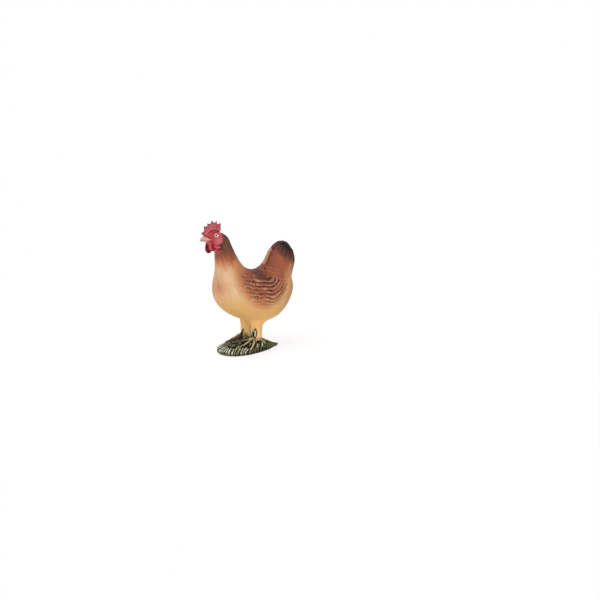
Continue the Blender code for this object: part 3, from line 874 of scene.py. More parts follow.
def carve_head(points, place, turn):
    """The face, worked out in the side view: its lines, a full cheek, a hollow beside the beak, a
    fleshy lobe over the beak and the groove under the comb. Returns the height and the masks."""
    y, z = side_view(points)
    side = points[..., 0]
    lobe = spot(y, z, *LOBE)
    pebble = rough_noise(0.55, 201, side, y, z)
    comb_line = bump_at(z - 45.2 + 0.13 * (y + 12.4) ** 2, 0.0, 0.28) * fall(np.abs(side), 1.0, 1.6)
    height = (0.2 * spot(y, z, *CHEEK_SPOT) + 0.35 * lobe - 0.4 * spot(y, z, *BEAK_HOLLOW)
              + 0.06 * pebble - 0.15 * comb_line)
    # Lighter rose: the pink cheek, and painted highlights on the lobe and on the raised folds.
    light = 0.9 * spot(y, z, *CHEEK_LIGHT) + 0.3 * lobe
    # Deep red: painted shade under the comb, round the eye and in the creases of the face lines.
    deep = 0.35 * comb_line + 0.35 * spot(y, z, *EYE_SHADE)
    for depth, paint, width, line in FACE_LINES:
        near = crease(y, z, line, width)
        height = height + depth * near
        light = np.maximum(light, paint * near)
        deep = np.maximum(deep * (1 - max(paint, 0) * near), -paint * near)
    deep = deep + 0.35 * smooth(place + 0.25 * pebble, 4.3, 4.9)
    back = fall(fold(turn), 0.3, 0.95)
    tips = 0.8 * wobble(202, fold(turn) * 13, np.sign(side)) * (1 - 0.6 * back)
    border = 4.4 + 0.4 * back + tips
    return height, {"light": light, "deep": deep, "nape": smooth(place, border - 0.25, border + 0.3)}


# How far the head's skin goes on under the neck feathers, in ribs, and how deep it dips, in mm.
HEAD_TUCK = 0.25
TUCK_DEPTH = 0.5


def head_piece(finish):
    """The head from the beak to the neck rim, and a little farther under the neck feathers."""
    points, place, turn = hen_skin(0, NECK_RIM + HEAD_TUCK, *GRIDS["head"])
    height, masks = carve_head(points, place, turn)
    height = height - TUCK_DEPTH * smooth(place, NECK_RIM - 0.05, NECK_RIM + HEAD_TUCK)
    piece("head_skin", carve(points, height), finish, masks, ("head",))


# The comb's points, each a ray's angle in degrees and its reach in mm, the depth of the notches
# between them, the comb's thickness, how far out its root lies, and how far towards the root a
# ray is widest.
COMB_POINTS = ((61, 5.6), (78, 5.9), (94, 6.2), (113, 5.7), (131, 5.6), (160, 5.0))
COMB_NOTCH = 1.0
COMB_THICKNESS = 1.5
COMB_ROOT = 1.2
COMB_PEAR = 0.35

# How far the comb goes on beyond its first and its last ray, in radians, and in how many rings,
# and how near the first of those lies to the ray.
COMB_FRONT = (0.45, 16)
COMB_REAR = (0.14, 8)
COMB_END_GAP = 0.02


def comb_piece(finish):
    """The comb: rays from a root arc to a crest that sinks between its points, and farther at its
    two ends. Each ray is an oval, thin at the crest. Ridges follow the rays, and a rounded roll
    follows the root."""
    rings, around = GRIDS["comb"]
    count = len(COMB_POINTS)
    place = np.linspace(0, count - 1, rings)
    angle = np.interp(place, range(count), np.radians([p[0] for p in COMB_POINTS]))
    reach = np.interp(place, range(count), [p[1] for p in COMB_POINTS])
    reach = reach - COMB_NOTCH * np.abs(np.sin(math.pi * place)) ** 0.7
    front = np.linspace(COMB_FRONT[0], COMB_END_GAP, COMB_FRONT[1])
    rear = np.linspace(COMB_END_GAP, COMB_REAR[0], COMB_REAR[1])
    angle = np.concatenate([angle[0] - front, angle, angle[-1] + rear])
    front_sunk = COMB_NOTCH * np.interp(front, (0, 0.15, COMB_FRONT[0]), (0, 1, 2.4))
    rear_sunk = COMB_NOTCH * rear / COMB_REAR[0]
    reach = np.concatenate([reach[0] - front_sunk, reach, reach[-1] - rear_sunk])
    place = np.concatenate([-front, place, count - 1 + rear])
    way = np.stack([np.cos(angle), np.sin(angle)], axis=1)
    at = np.array([HEAD_Y, HEAD_Z - BELLY_Z])
    ribs = np.column_stack([at + way * reach[:, None], at + way * COMB_ROOT,
                            np.full(len(angle), COMB_THICKNESS / 2), np.full(len(angle), COMB_PEAR)])
    points = rings_about(ribs, full_turn(around))
    place, turn = np.broadcast_arrays(place[:, None], full_turn(around))
    out = np.linalg.norm(points[..., 1:] - (HEAD_Y, HEAD_Z), axis=2)
    ray = np.abs(np.cos(math.pi * place)) ** 0.6
    roll = bump_at(out, 3.15, 0.3) + 0.6 * bump_at(out, 4.0, 0.18)
    under = bump_at(out, 2.45, 0.3) + 0.5 * bump_at(out, 3.62, 0.14)
    pleat = wobble(301, place * 5.0, out * 0.6)
    height = 0.14 * ray * smooth(out, 2.8, 4.4) + 0.12 * roll - 0.2 * under + 0.07 * pleat
    points[..., 0] += np.sign(points[..., 0]) * np.abs(np.sin(turn)) * height
    tip = smooth(out - (reach[:, None] - 0.95), 0.0, 0.9) * ray ** 3
    masks = {"light": 0.75 * roll + 0.25 * ray * (1 - tip),
             "deep": 0.95 * tip + 0.6 * under + 0.3 * np.clip(-pleat, 0, 1)}
    piece("comb_flesh", points, finish, masks, ("comb",))


# Ribs of the beak and of a wattle, counted from the comb's point.
BEAK_RIBS = (
    (-1.8, 0.1, -1.6, -1.5, 2.2, 0.0),
    (-3.3, 0.5, -2.4, -1.6, 1.65, 0.0),
    (-4.2, 0.15, -3.3, -1.6, 1.05, 0.0),
    (-4.85, -0.4, -4.2, -1.5, 0.58, 0.0),
    (-5.2, -0.95, -4.95, -1.35, 0.2, 0.0),
)
WATTLE_RIBS = (
    (-1.1, -1.4, -2.2, -1.5, 0.5, 0.0),
    (-0.6, -2.8, -2.5, -2.8, 0.7, 0.0),
    (-0.3, -4.1, -2.7, -4.0, 0.85, 0.0),
    (-0.4, -5.1, -2.5, -5.0, 0.8, 0.0),
    (-0.9, -5.7, -1.9, -5.7, 0.4, 0.0),
)
WATTLE_X = 1.5

# Each wattle's side, how long it is against its ribs, and how far back it sits, in mm.
WATTLES = {"left_wattle": (1, 0.85, 0.3), "right_wattle": (-1, 1.08, 0)}


def small_fan(ribs, rows, around):
    """A small form about ribs that count from the comb point, with each point's place and turn."""
    place = np.linspace(0, len(ribs) - 1, rows)
    points = rings_about(curve_rows(np.asarray(ribs) + FROM_COMB_POINT, place), full_turn(around))
    return points, *np.broadcast_arrays(place[:, None], full_turn(around))


def beak_finish():
    """Horn paint: tan at the root, greyer towards the tip, a brown wash in the mouth line."""
    f = Finish("beak_paint")
    paint = f.mix(f.mask("tip"), colour(198, 160, 140), colour(168, 148, 130))
    paint = f.clouded(paint, colour(222, 196, 176), 0.9, 0.35, 0.75, most=0.35)
    paint = f.coats(paint, ("mouth", colour(110, 70, 56)))
    return f.done(paint, patches=(0.5, 0.3, 0.46), grain=(0.15, 3.0, 0.12))


# The turn of the mouth's line and its half width, the place and turn of a nostril and its size,
# and how deep both are cut.
MOUTH = (1.9, 0.1)
NOSTRIL = ((1.45, 0.95), (0.14, 0.1))
BEAK_CUT = 0.16


def beak_piece(finish):
    """The beak, with the line of the mouth and two nostrils."""
    points, place, turn = small_fan(BEAK_RIBS, *GRIDS["beak"])
    mouth = bump_at(fold(turn), *MOUTH) * fall(place, 3.4, 3.9)
    nostril = spot(place, fold(turn), *NOSTRIL)
    points = carve(points, -BEAK_CUT * (mouth + nostril))
    masks = {"tip": smooth(place, 1.5, 4.0), "mouth": 0.6 * mouth + 0.7 * nostril}
    piece("beak_horn", points, finish, masks, ("beak",))


def wattle_piece(name, side, drop, back, finish):
    """A wattle: a soft lobe with shallow folds that run down it, darkest on its inner side, which
    faces the other wattle and is painted shade, with a painted highlight on its front edge.
    """
    ribs = np.multiply(WATTLE_RIBS, (1, drop, 1, drop, 1, 1))
    points, place, turn = small_fan(ribs, *GRIDS["wattle"])
    points = points + (side * WATTLE_X, back, 0)
    folds = np.cos(3 * fold(turn) + 1.2 * wobble(401, place, turn))
    pebble = lattice_noise(0.5, 402, *side_view(points))
    points = carve(points, 0.07 * folds * smooth(place, 0.4, 1.4) + 0.04 * pebble)
    front = bump_at(fold(turn), 2.8, 0.35)
    # The inner side, facing the other wattle, is painted dark: painted shade.
    inner = smooth(side * (side * WATTLE_X - points[..., 0]), 0.1, 0.5)
    # Light: a painted highlight on the front edge's folds. Deep: darker in the folds, low down and
    # behind, and painted shade on the inner side.
    masks = {"light": 0.7 * front * (1 - inner) * smooth(folds, -0.5, 1),
             "deep": 0.3 * smooth(-folds, 0, 1) + 0.3 * smooth(place, 3.2, 4.0) + inner
                     + 0.4 * fall(fold(turn), 1.4, 2.2)}
    piece(f"{name}_flesh", points, finish, masks, (name,))


# Where on the skin the eye sits, how far it turns from the skin to the side, its radius, how much
# farther its rear corner reaches, and the heights of its foot, its dome and its lids.
EYE_PLACE = 2.92
EYE_TURN = 0.92
EYE_SIDEWAYS = 0.7
EYE_RADIUS = 0.65
EYE_CORNER = 0.75
EYE_LIFT = 0.12
EYE_DOME = 0.3
LID_HEIGHT = 0.1


def eye_finish():
    """Cream round a dark pupil, edged with dark red, all set by the distance from the middle."""
    f = Finish("eye_paint")
    out = f.mask("out")
    paint = f.mix(f.span(out, 0.56, 0.66), colour(12, 0, 0), colour(255, 242, 230))
    paint = f.mix(f.span(out, 0.84, 0.98), paint, colour(150, 44, 50))
    paint = f.clouded(paint, colour(226, 190, 170), 0.3, 0.4, 0.8, most=0.15)
    return f.done(paint, patches=(0.4, 0.28, 0.4), grain=(0.1, 3.0, 0.05))


def eye_pieces(finish):
    """Two eyes, each a dome that looks sideways out of the skin. Its height falls as a cosine, the
    lids are a raised ring, and the outline is drawn out to a point at the rear corner."""
    skin, _, turn = hen_skin(EYE_PLACE - 0.02, EYE_PLACE + 0.02, 3, 400)
    at = np.argmin(np.abs(turn[1] - EYE_TURN))
    normal = outward(skin)[1, at] + (EYE_SIDEWAYS, 0, 0)
    normal /= np.linalg.norm(normal)
    rear = np.cross((0, 0, 1.0), normal)
    rear /= np.linalg.norm(rear)
    rise = np.cross(normal, rear)
    rings, around = GRIDS["eye"]
    out = np.linspace(1.0, 0.02, rings)[:, None]
    angle = full_turn(around)
    radius = EYE_RADIUS * out * (1 + EYE_CORNER * np.clip(np.cos(angle), 0, 1) ** 9 * out**3)
    lift = EYE_DOME * np.cos(out * math.pi / 2) + LID_HEIGHT * bump_at(out, 0.88, 0.08)
    lift = EYE_LIFT + lift - 0.5 * smooth(out, 0.92, 1.0)
    for side, name in ((1, "left_eye"), (-1, "right_eye")):
        points = skin[1, at] + lift[..., None] * normal + radius[..., None] * (
            np.cos(angle)[..., None] * rear + np.sin(angle)[..., None] * rise)
        piece(name, points * (side, 1, 1), finish, {"out": out})


# Legs and feet

# The legs, the left one at side 1 and the right one at side -1: where they stand, their radii, how
# deep they are in front of the axis and behind it over half their width, and the scales' spacing.
LEG_SPREAD = 3.0
LEG_Y = {1: 2.2, -1: 0.1}
SHANK_RADIUS = 1.7
ANKLE_RADIUS = 1.5
LEG_FRONT = {1: 1.3, -1: 1.1}
LEG_BACK = {1: 1.3, -1: 1.45}
KNEE_Z = BELLY_Z - 1.0
SCALE_PITCH = 0.8

# How far below the belly's skin a leg starts to widen, by how much it then widens, and in how
# many rings.
FILLET_RISE = 2.3
FILLET_REACH = 1.5
FILLET_RINGS = 30

# The belly's skin over the legs: its first and last place, its rings and the points in each, and
# the turn from which on it faces down.
BELLY_SKIN = (10.0, 16.0, 70, 170)
BELLY_TURN = 1.75

# How deep a leg or a standing blade goes on into the mound, and a leg into the belly.
SUNK = 0.5

# The toes of a foot, from the inner one to the hind one: their lengths, the length of a joint,
# the radius of root and claw, how high the middle one arches, and their bearings.
INNER_TOE = 0
MIDDLE_TOE = 1
HIND_TOE = 3
TOE_LENGTHS = (5.2, 7.0, 5.2, 2.8)
TOE_JOINT = 2.2
TOE_RADIUS = 0.75
TOE_ARCH = 0.7
CLAW_RADIUS = 0.3
TOE_SPREAD = math.radians(28)
FOOT_TURN = math.radians(18)
TOE_BEARINGS = (FOOT_TURN - TOE_SPREAD, FOOT_TURN, FOOT_TURN + TOE_SPREAD, math.pi)

# The mound: an egg-shaped plan, skewed sideways by a share of y, under a dome that is higher on
# the hen's right, with a bell of grass under each foot.
BASE_LENGTH = 24.4
BASE_WIDTH = 13.6
BASE_RIM = 1.0
BASE_SKEW = 0.12
BASE_TAPER = 0.44
MOUND_HEIGHT = 4.1
MOUND_TILT = 0.15
FOOT_RISE = {1: 1.6, -1: 0.3}
FOOT_REACH = 2.1

# By what share the plan narrows at the rear end, and the dome and the rim sink there.
REAR_NARROWS = 0.4
DOME_SINKS = 0.4
RIM_SINKS = 0.7


def plan_half(y):
    """Half the width of the base's egg-shaped plan, before the oval closes it; its rear end is
    a little more pointed than the egg."""
    behind = 2 * y / BASE_LENGTH
    return BASE_WIDTH / 2 * (1 - BASE_TAPER * behind) * (1 - REAR_NARROWS * smooth(behind, 0.55, 1.0))


def mound_height(x, y):
    """The mound without its grass: the rim's height, a dome over the skewed egg-shaped plan, and
    a bell under each foot."""
    behind = 2 * y / BASE_LENGTH
    edge = ((x + BASE_SKEW * y) / plan_half(y)) ** 2 + behind**2
    rise = (MOUND_HEIGHT - BASE_RIM) * np.clip(1 - edge, 0, 1) ** 0.75
    rise = rise * (1 - DOME_SINKS * smooth(behind, 0.3, 0.9))
    rim = BASE_RIM * (1 - RIM_SINKS * smooth(behind, 0.5, 1.0))
    height = rim + rise * (1 - MOUND_TILT * 2 * x / BASE_WIDTH)
    for side, lift in FOOT_RISE.items():
        foot = (side * LEG_SPREAD, LEG_Y[side])
        height = height + lift * spot(x, y, foot, (FOOT_REACH, FOOT_REACH))
    return height


def toe_path(side, number, share):
    """x and y along a toe, by shares of its length from the middle of the foot."""
    out = share * (TOE_LENGTHS[number] + ANKLE_RADIUS / 2)
    bearing = TOE_BEARINGS[number]
    return side * (LEG_SPREAD + out * math.sin(bearing)), LEG_Y[side] - out * math.cos(bearing)


def tube_rings(path, radii, around):
    """Circles of those radii about a path that never runs along X."""
    way = np.gradient(path, axis=0)
    way /= np.linalg.norm(way, axis=1, keepdims=True)
    side = np.cross(way, (1.0, 0, 0))
    side /= np.linalg.norm(side, axis=1, keepdims=True)
    rise = np.cross(side, way)
    turn = full_turn(around)[..., None]
    return path[:, None, :] + radii[:, None, None] * (
        np.cos(turn) * side[:, None, :] + np.sin(turn) * rise[:, None, :])


def leg_finish():
    """Orange-cream leg paint, browner near the belly as painted shade and in the lines, with painted
    shade on the rear of the inner side, lighter on the sides and, as painted light, all round the
    right leg, and the belly's paler gold, a painted fill light, where the leg grows out of it. The
    toes are dark olive below, a painted shade, with a pale line brushed along their tops."""
    f = Finish("leg_paint")
    paint = f.clouded(colour(248, 198, 122), colour(255, 218, 150), 1.6, 0.3, 0.7, most=0.6)
    paint = f.coats(
        paint,
        ("shade", colour(214, 148, 72)),
        ("light", colour(255, 222, 166)),
        ("toe", colour(222, 206, 158)),
        ("sage", colour(158, 152, 112)),
        ("underside_shade", colour(50, 40, 14)),
        ("line", colour(84, 42, 14)),
        # The belly's paler gold, a painted fill light, where the leg grows out of it.
        ("gold", PALE_GOLD_PAINTED_LIGHT),
    )
    return f.done(paint, patches=(0.6, 0.36, 0.52), grain=(0.15, 3.0, 0.12))


def under_belly(x, y):
    """The height of the hen's skin above points of the ground plan: the mean of the skin's lower
    points, weighted by the fourth power of the inverse of their distance in the plan."""
    skin, _, turn = hen_skin(*BELLY_SKIN)
    low = skin[fold(turn) > BELLY_TURN]
    away = (x[..., None] - low[:, 0]) ** 2 + (y[..., None] - low[:, 1]) ** 2
    weight = 1 / (away + 0.01) ** 2
    return np.sum(weight * low[:, 2], axis=-1) / np.sum(weight, axis=-1)


def shank_piece(name, side, finish):
    """A leg: circles stretched along Y that rise from the mound, ringed by shallow scales. Under
    the belly they widen and rise as a quarter of an ellipse, until they lie along the skin."""
    rings, around = GRIDS["shank"]
    x = side * LEG_SPREAD
    y = LEG_Y[side]
    foot_z = mound_height(x, y)
    turn = full_turn(around)
    ahead = -np.cos(turn)
    outside = side * np.sin(turn)
    stretch = np.where(ahead < 0, LEG_BACK[side], LEG_FRONT[side])
    rise = np.linspace(0, 1, rings)[:, None]
    bend = np.linspace(0, math.pi / 2, FILLET_RINGS)[1:, None]
    reach = FILLET_REACH * (1 + 0.9 * smooth(-ahead, 0.2, 1.0) - 0.45 * smooth(-outside, -0.2, 0.8))
    lowest = np.interp(rise, (0, 0.18, 1), (ANKLE_RADIUS * 1.08, ANKLE_RADIUS, SHANK_RADIUS))
    radii = np.concatenate([lowest + 0 * turn, SHANK_RADIUS + reach * (1 - np.cos(bend))])
    radii = np.concatenate([radii, radii[-1:] + 0.3])
    at_x = x + radii * np.sin(turn)
    at_y = y + radii * np.cos(turn) * stretch
    skin = under_belly(at_x[rings - 1:], at_y[rings - 1:])
    shank = foot_z - SUNK + rise * (skin[:1] - FILLET_RISE - foot_z + SUNK)
    curve = skin[1:-1] - FILLET_RISE * (1 - np.sin(bend)) - 0.04
    height = np.concatenate([shank, curve, skin[-1:] + SUNK])
    points = np.stack([at_x, at_y, height], axis=2)
    below = np.concatenate([fall(rise, 0.75, 1.0), np.zeros((FILLET_RINGS, 1))])
    grown = np.concatenate([np.zeros((rings, 1)), smooth(bend, 0.3, 1.2), [[1.0]]])
    ring = height / SCALE_PITCH + 0.15 * wobble(503, height, ahead * 2)
    scales = (1 - np.abs(np.sin(math.pi * ring)) ** 0.5) * smooth(ahead, -0.2, 0.6) * below
    tendon = bump_at(ahead, -0.55, 0.16) * below
    rough = rough_noise(0.9, 501, *np.moveaxis(points, 2, 0)) * (1 - grown)
    points = carve(points, 0.05 * rough - 0.09 * scales - 0.14 * tendon)
    # The rear of the inner side, towards the other leg, takes painted shade through the line mask.
    rear = smooth(-ahead, 0.55, 0.95) * smooth(-outside, 0.1, 0.9)
    upper = smooth(height, KNEE_Z - 4.0, KNEE_Z + 1.0)
    # Painted light: the right leg, in the belly's shade, is painted lighter all round.
    far_light = 0.4 if side < 0 else 0
    masks = {
        "line": 0.16 * scales + 0.2 * tendon + 0.75 * rear * (1 - grown)
                + 0.5 * fall(height, foot_z, foot_z + 0.9),
        "shade": 0.3 * upper + 0.3 * tendon,
        "light": (0.6 * smooth(np.abs(np.sin(turn)), 0.3, 0.9) + far_light) * (1 - upper),
        "gold": grown,
    }
    piece(f"{name}_shank", points, finish, masks, (name,))


def toe_pieces(name, side, finish):
    """Four toes that follow the mound in joints and thin to their claws. The middle one arches
    where it leaves the leg."""
    rings, around = GRIDS["toe"]
    share = np.linspace(0, 1, rings)
    for number, length in enumerate(TOE_LENGTHS):
        path_x, path_y = toe_path(side, number, share)
        joints = length / TOE_JOINT
        knuckle = 1 + 0.14 * np.cos(share * joints * 2 * math.pi)
        radii = (TOE_RADIUS + (CLAW_RADIUS - TOE_RADIUS) * share) * knuckle
        radii = radii * np.sqrt(np.clip((1 - share) / 0.08, 0.02, 1))
        lift = mound_height(path_x, path_y) + radii * 0.55
        if number == MIDDLE_TOE:
            lift = lift + TOE_ARCH * fall(share, 0.25, 0.75)
        points = tube_rings(np.stack([path_x, path_y, lift], axis=1), radii, around)
        over = (points[..., 2] - lift[:, None]) / radii[:, None]
        claw = smooth(share, 0.84, 0.9)[:, None]
        segment = np.abs(np.sin(share * joints * 3 * math.pi))[:, None] ** 0.5
        away = smooth(share, 0.1, 0.45)[:, None]
        # Painted shade: the right foot's inner toe is painted darker than its twin on the left foot.
        dark = 0.7 if number == INNER_TOE and side < 0 else 0
        sage = 0.8 if number == INNER_TOE else 0.25
        # Painted shade: dark olive on the lower part of each toe beyond its root.
        underside_shade = 0.4 if number == HIND_TOE else 1
        masks = {"line": 0.2 * (1 - segment) + 0.2 * claw + dark,
                 "sage": sage * away,
                 "shade": 0.35 * fall(over, -0.2, 0.6),
                 "underside_shade": underside_shade * np.clip(away * fall(over, 0.35, 0.8) + 0.15 * away, 0, 1),
                 "toe": smooth(share, 0.05, 0.4)[:, None]}
        piece(f"{name}_toe_{number + 1}", points, finish, masks)


# Grass base

# How high the blades on the mound are, in mm, and how much darker its wall is.
BLADE_HEIGHT = 0.6
WALL_SHADE = 0.45

# Lanes of blades about the mound and tiers of them from its middle to the rim, in the outer ring
# and inside it, where the outer ring starts, and how many tiers are counted up to the rim.
OUTER_BLADES = (58, 2.4)
INNER_BLADES = (34, 3.6)
OUTER_START = 0.70
RIM_TIER = 19.75

# How much faster a blade's path bends towards X than towards Y: the square of the plan's width
# over its length.
BLADE_BEND = (BASE_WIDTH / BASE_LENGTH) ** 2

# How far the blades on the two long sides sweep forward on their way down, in radians, and how
# many entries the table of the rim has that their paths are read from.
BLADE_SWEEP = 0.6
FALL_STEPS = 400

# The rings of the mound's wall, of the part of its top that is near the rim, and the shares of
# the rim at which the rings of its underside lie.
WALL_RINGS = 14
RIM_RINGS = 30
UNDERSIDE = (0.93, 0.3, 0.02)


def grass_finish():
    """Grass paint: near-black olive in the gaps, olive on the blades, pale sage brushed on their
    crests, dry straw along part of the rim, browner about the toes, and near-black brown in the
    wedge between two toes as a painted shadow."""
    f = Finish("grass_paint")
    speckle = f.noise(0.45)
    paint = f.clouded(colour(56, 56, 20), colour(88, 88, 42), 1.8, 0.3, 0.7)
    paint = f.coats(paint, ("brown_coat", colour(72, 40, 14)), ("crest", colour(140, 142, 92)))
    paint = f.mix(f.speckled("pale", speckle, 0.3, 0.5), paint, colour(214, 218, 198))
    paint = f.coats(paint, ("straw", colour(196, 184, 116)), ("gap", colour(14, 12, 3)),
                    ("hollow", colour(30, 13, 4)))
    return f.done(paint, patches=(0.7, 0.46, 0.7), grain=(0.2, 3.0, 0.3))


# How far the browner paint about a toe reaches, and in how many steps the toe is measured.
TOE_REACH = 1.25
TOE_STEPS = 14

# The wedge between two toes, a hollow painted near-black brown as a painted shadow: how far its
# middle lies towards the inner toe, in radians, and the share of the toes' spread that is half
# its width.
WEDGES = {1: (0.0, 1 / 2.6), -1: (0.16, 1 / 1.5)}


def near_toes(x, y):
    """1 at the middle line of a toe or under a shank, falling away as a bell."""
    nearest = np.full(np.broadcast(x, y).shape, np.inf)
    for side in (1, -1):
        for number in range(len(TOE_LENGTHS)):
            for share in np.linspace(0, 1, TOE_STEPS):
                toe_x, toe_y = toe_path(side, number, share)
                nearest = np.minimum(nearest, np.hypot(x - toe_x, y - toe_y))
    return bump_at(nearest, 0, TOE_REACH)


def between_toes(x, y):
    """1 in the wedge between the inner and the middle toe of each foot, with soft borders. The
    right foot's wedge reaches beyond its inner toe."""
    wedge = 0
    for side, (inward, wide) in WEDGES.items():
        ahead = LEG_Y[side] - y
        beside = side * (x - side * LEG_SPREAD)
        away = np.hypot(beside, ahead)
        middle = (TOE_BEARINGS[INNER_TOE] + TOE_BEARINGS[MIDDLE_TOE]) / 2 - inward
        share = bump_at(np.arctan2(beside, ahead), middle, TOE_SPREAD * wide)
        wedge = np.maximum(wedge, share * between(away, 0.8, 1.8, 6.3, 7.6))
    return wedge


def fall_line(share, turn):
    """The turn at which the steepest way down from a point meets the rim. On an oval plan such a
    way keeps y over x to the power BLADE_BEND, read here backwards from a table of the rim."""
    def ratio(angle):
        return -np.cos(angle) / np.sin(angle) ** BLADE_BEND
    table = np.linspace(0.02, math.pi - 0.02, FALL_STEPS)
    inner = share ** (1 - BLADE_BEND) * ratio(np.clip(fold(turn), table[0], table[-1]))
    met = np.interp(inner, ratio(table), table)
    return np.where(turn > math.pi, 2 * math.pi - met, met)


def blade_rows(share, turn, lanes, tiers, seed):
    """Blades of grass: lanes that run down the mound and forward, each broken into tiers at its
    own distances. Returns the height, the painted stroke and a number for each blade."""
    wander = 0.4 * wobble(seed, share * 4, np.cos(turn) * 6, np.sin(turn) * 6)
    swept = fall_line(share, turn) + BLADE_SWEEP * (1 - share) * np.sin(turn)
    at = lanes * swept / (2 * math.pi) + wander
    lane = np.floor(at) % lanes
    across = np.abs(at - np.floor(at) - 0.5) * 2
    breaks = (share - 1) * tiers + 0.22 * wobble(seed + 1, lane * 9.7, lane) + RIM_TIER
    tier = np.floor(breaks)
    along = breaks - tier
    width = np.clip(1.0 - 0.45 * along**2, 0.3, 1)
    rise = 0.25 + 0.94 * along**1.2 * fall(along, 0.93, 1.0)
    blade = np.clip(1 - (across / width) ** 2, 0, 1) ** 0.6 * rise
    blade = blade * (0.75 + 0.4 * wobble(seed + 2, lane * 5.1, tier))
    stroke = np.clip(1 - across**2, 0, 1) * smooth(along, 0.02, 0.2) * fall(along, 0.9, 1.0)
    return blade, stroke, wobble(seed + 3, lane * 7.3, tier)


def mound_piece(finish):
    """The mound. Blades of grass are ridges that run from the top outwards and downwards, with
    sharp valleys between them, in tiers like shingles: fine ones in the outer ring, and broader
    ones inside it. A wall goes down from the rim to a flat underside."""
    rings, around = GRIDS["mound"]
    middle = np.linspace(0.02, 0.9, rings - RIM_RINGS)
    share = np.concatenate([middle, np.linspace(0.905, 1.0, RIM_RINGS)])[:, None]
    turn = full_turn(around)
    y = share * BASE_LENGTH / 2 * np.cos(turn)
    x = share * plan_half(y) * np.sin(turn) - BASE_SKEW * y
    ragged = share + 0.05 * wobble(607, turn * 12, share)
    outer = smooth(ragged, OUTER_START - 0.01, OUTER_START + 0.01)
    inside = blade_rows(share, turn, *INNER_BLADES, 611)
    outside = blade_rows(share, turn, *OUTER_BLADES, 601)
    blade, stroke, lively = (a + outer * (b - a) for a, b in zip(inside, outside))
    fade = smooth(share, 0.05, 0.3)
    # Nearness to the toes: a browner coat there, and lower blades.
    brown_coat = near_toes(x, y)
    wedge = between_toes(x, y)
    relief = fade * BLADE_HEIGHT * (blade - 0.45) * (1 - 0.6 * brown_coat) - 0.1 * brown_coat - 0.35 * wedge
    swell = 1 + 0.035 * (blade - 0.6) * smooth(share, 0.88, 1.0)
    upper = np.stack([x * swell, y * swell, mound_height(x, y) + relief], axis=2)
    down = np.linspace(1, 0, WALL_RINGS)[1:, None]
    taper = 1 - 0.02 * (1 - down)
    rim = upper[-1]
    wall = np.stack([rim[:, 0] * taper, rim[:, 1] * taper, rim[:, 2] * down], axis=2)
    under = wall[-1] * np.array(UNDERSIDE)[:, None, None]
    points = np.concatenate([upper, wall, under])
    ahead = smooth(-y / BASE_LENGTH, 0.02, 0.14)
    dabs = smooth(lattice_noise(0.8, 606, x, y, 0 * x), 0.1, 0.5)
    straw = 0.8 * smooth(share, 0.96, 1.0) * smooth(-y / BASE_LENGTH, 0.32, 0.44)
    masks = {
        "crest": smooth(stroke, 0.35, 0.75) * fade * (0.35 + 0.55 * ahead) * (0.5 + 0.5 * outer),
        "pale": smooth(stroke + 0.3 * lively, 0.6, 0.92) * fade * ahead * (0.12 + 0.88 * outer),
        "gap": np.clip(fade * (1.2 * fall(stroke, 0.45, 0.75) + 0.5 * dabs), 0, 1),
        "straw": straw * (0.6 + 0.35 * lively),
        "brown_coat": np.clip(0.7 * brown_coat + wedge, 0, 1),
        # The wedge between the toes: a hollow painted near-black brown, a painted shadow.
        "hollow": wedge,
    }
    for mask, values in masks.items():
        below = 0.5 * values[-1:] + (WALL_SHADE if mask == "gap" else 0)
        masks[mask] = np.concatenate([values, np.repeat(below, len(points) - len(upper), axis=0)])
    piece("mound", points, finish, masks, ("grass_base",))


# Standing blades beside each foot: where they root, their height and half width, how far the tip
# leans to the rear, and how pale the middle is. Blades with a paleness below 0 are dark spikes.
# One of them is no blade but an oval leaf on a stalk.
TUFTS = (
    (-1.0, -2.9, 4.3, 0.6, 1.8, -1.0),
    (-0.7, -1.6, 2.3, 0.34, 0.1, 0.4),
    (-0.5, -1.0, 2.5, 0.32, 0.1, 0.5),
    (-0.4, -0.4, 2.0, 0.32, 0.1, 0.3),
    (-0.2, -1.5, 1.5, 0.4, 0.1, 0.3),
    (4.9, 0.8, 6.3, 0.72, 0.1, 1.0),
    (3.9, 0.1, 4.6, 0.5, 0.1, 0.0),
    (4.5, 2.8, 0.9, 0.5, 0.1, -1.0),
    (5.6, 1.4, 1.6, 0.4, 0.3, 0.7),
    (4.8, 3.6, 1.8, 0.42, 0.1, 0.9),
    (5.0, -0.2, 1.3, 0.42, 0.1, 0.3),
    (5.2, 1.3, 1.2, 0.42, 0.2, 0.2),
    (4.7, -1.1, 1.2, 0.4, 0.3, 0.3),
)
OVAL_LEAF = 5

# The directions of a standing blade's width and of its thickness.
BLADE_ACROSS = np.array([0.26, 0.966, 0])
BLADE_THROUGH = np.array([0.966, -0.26, 0])


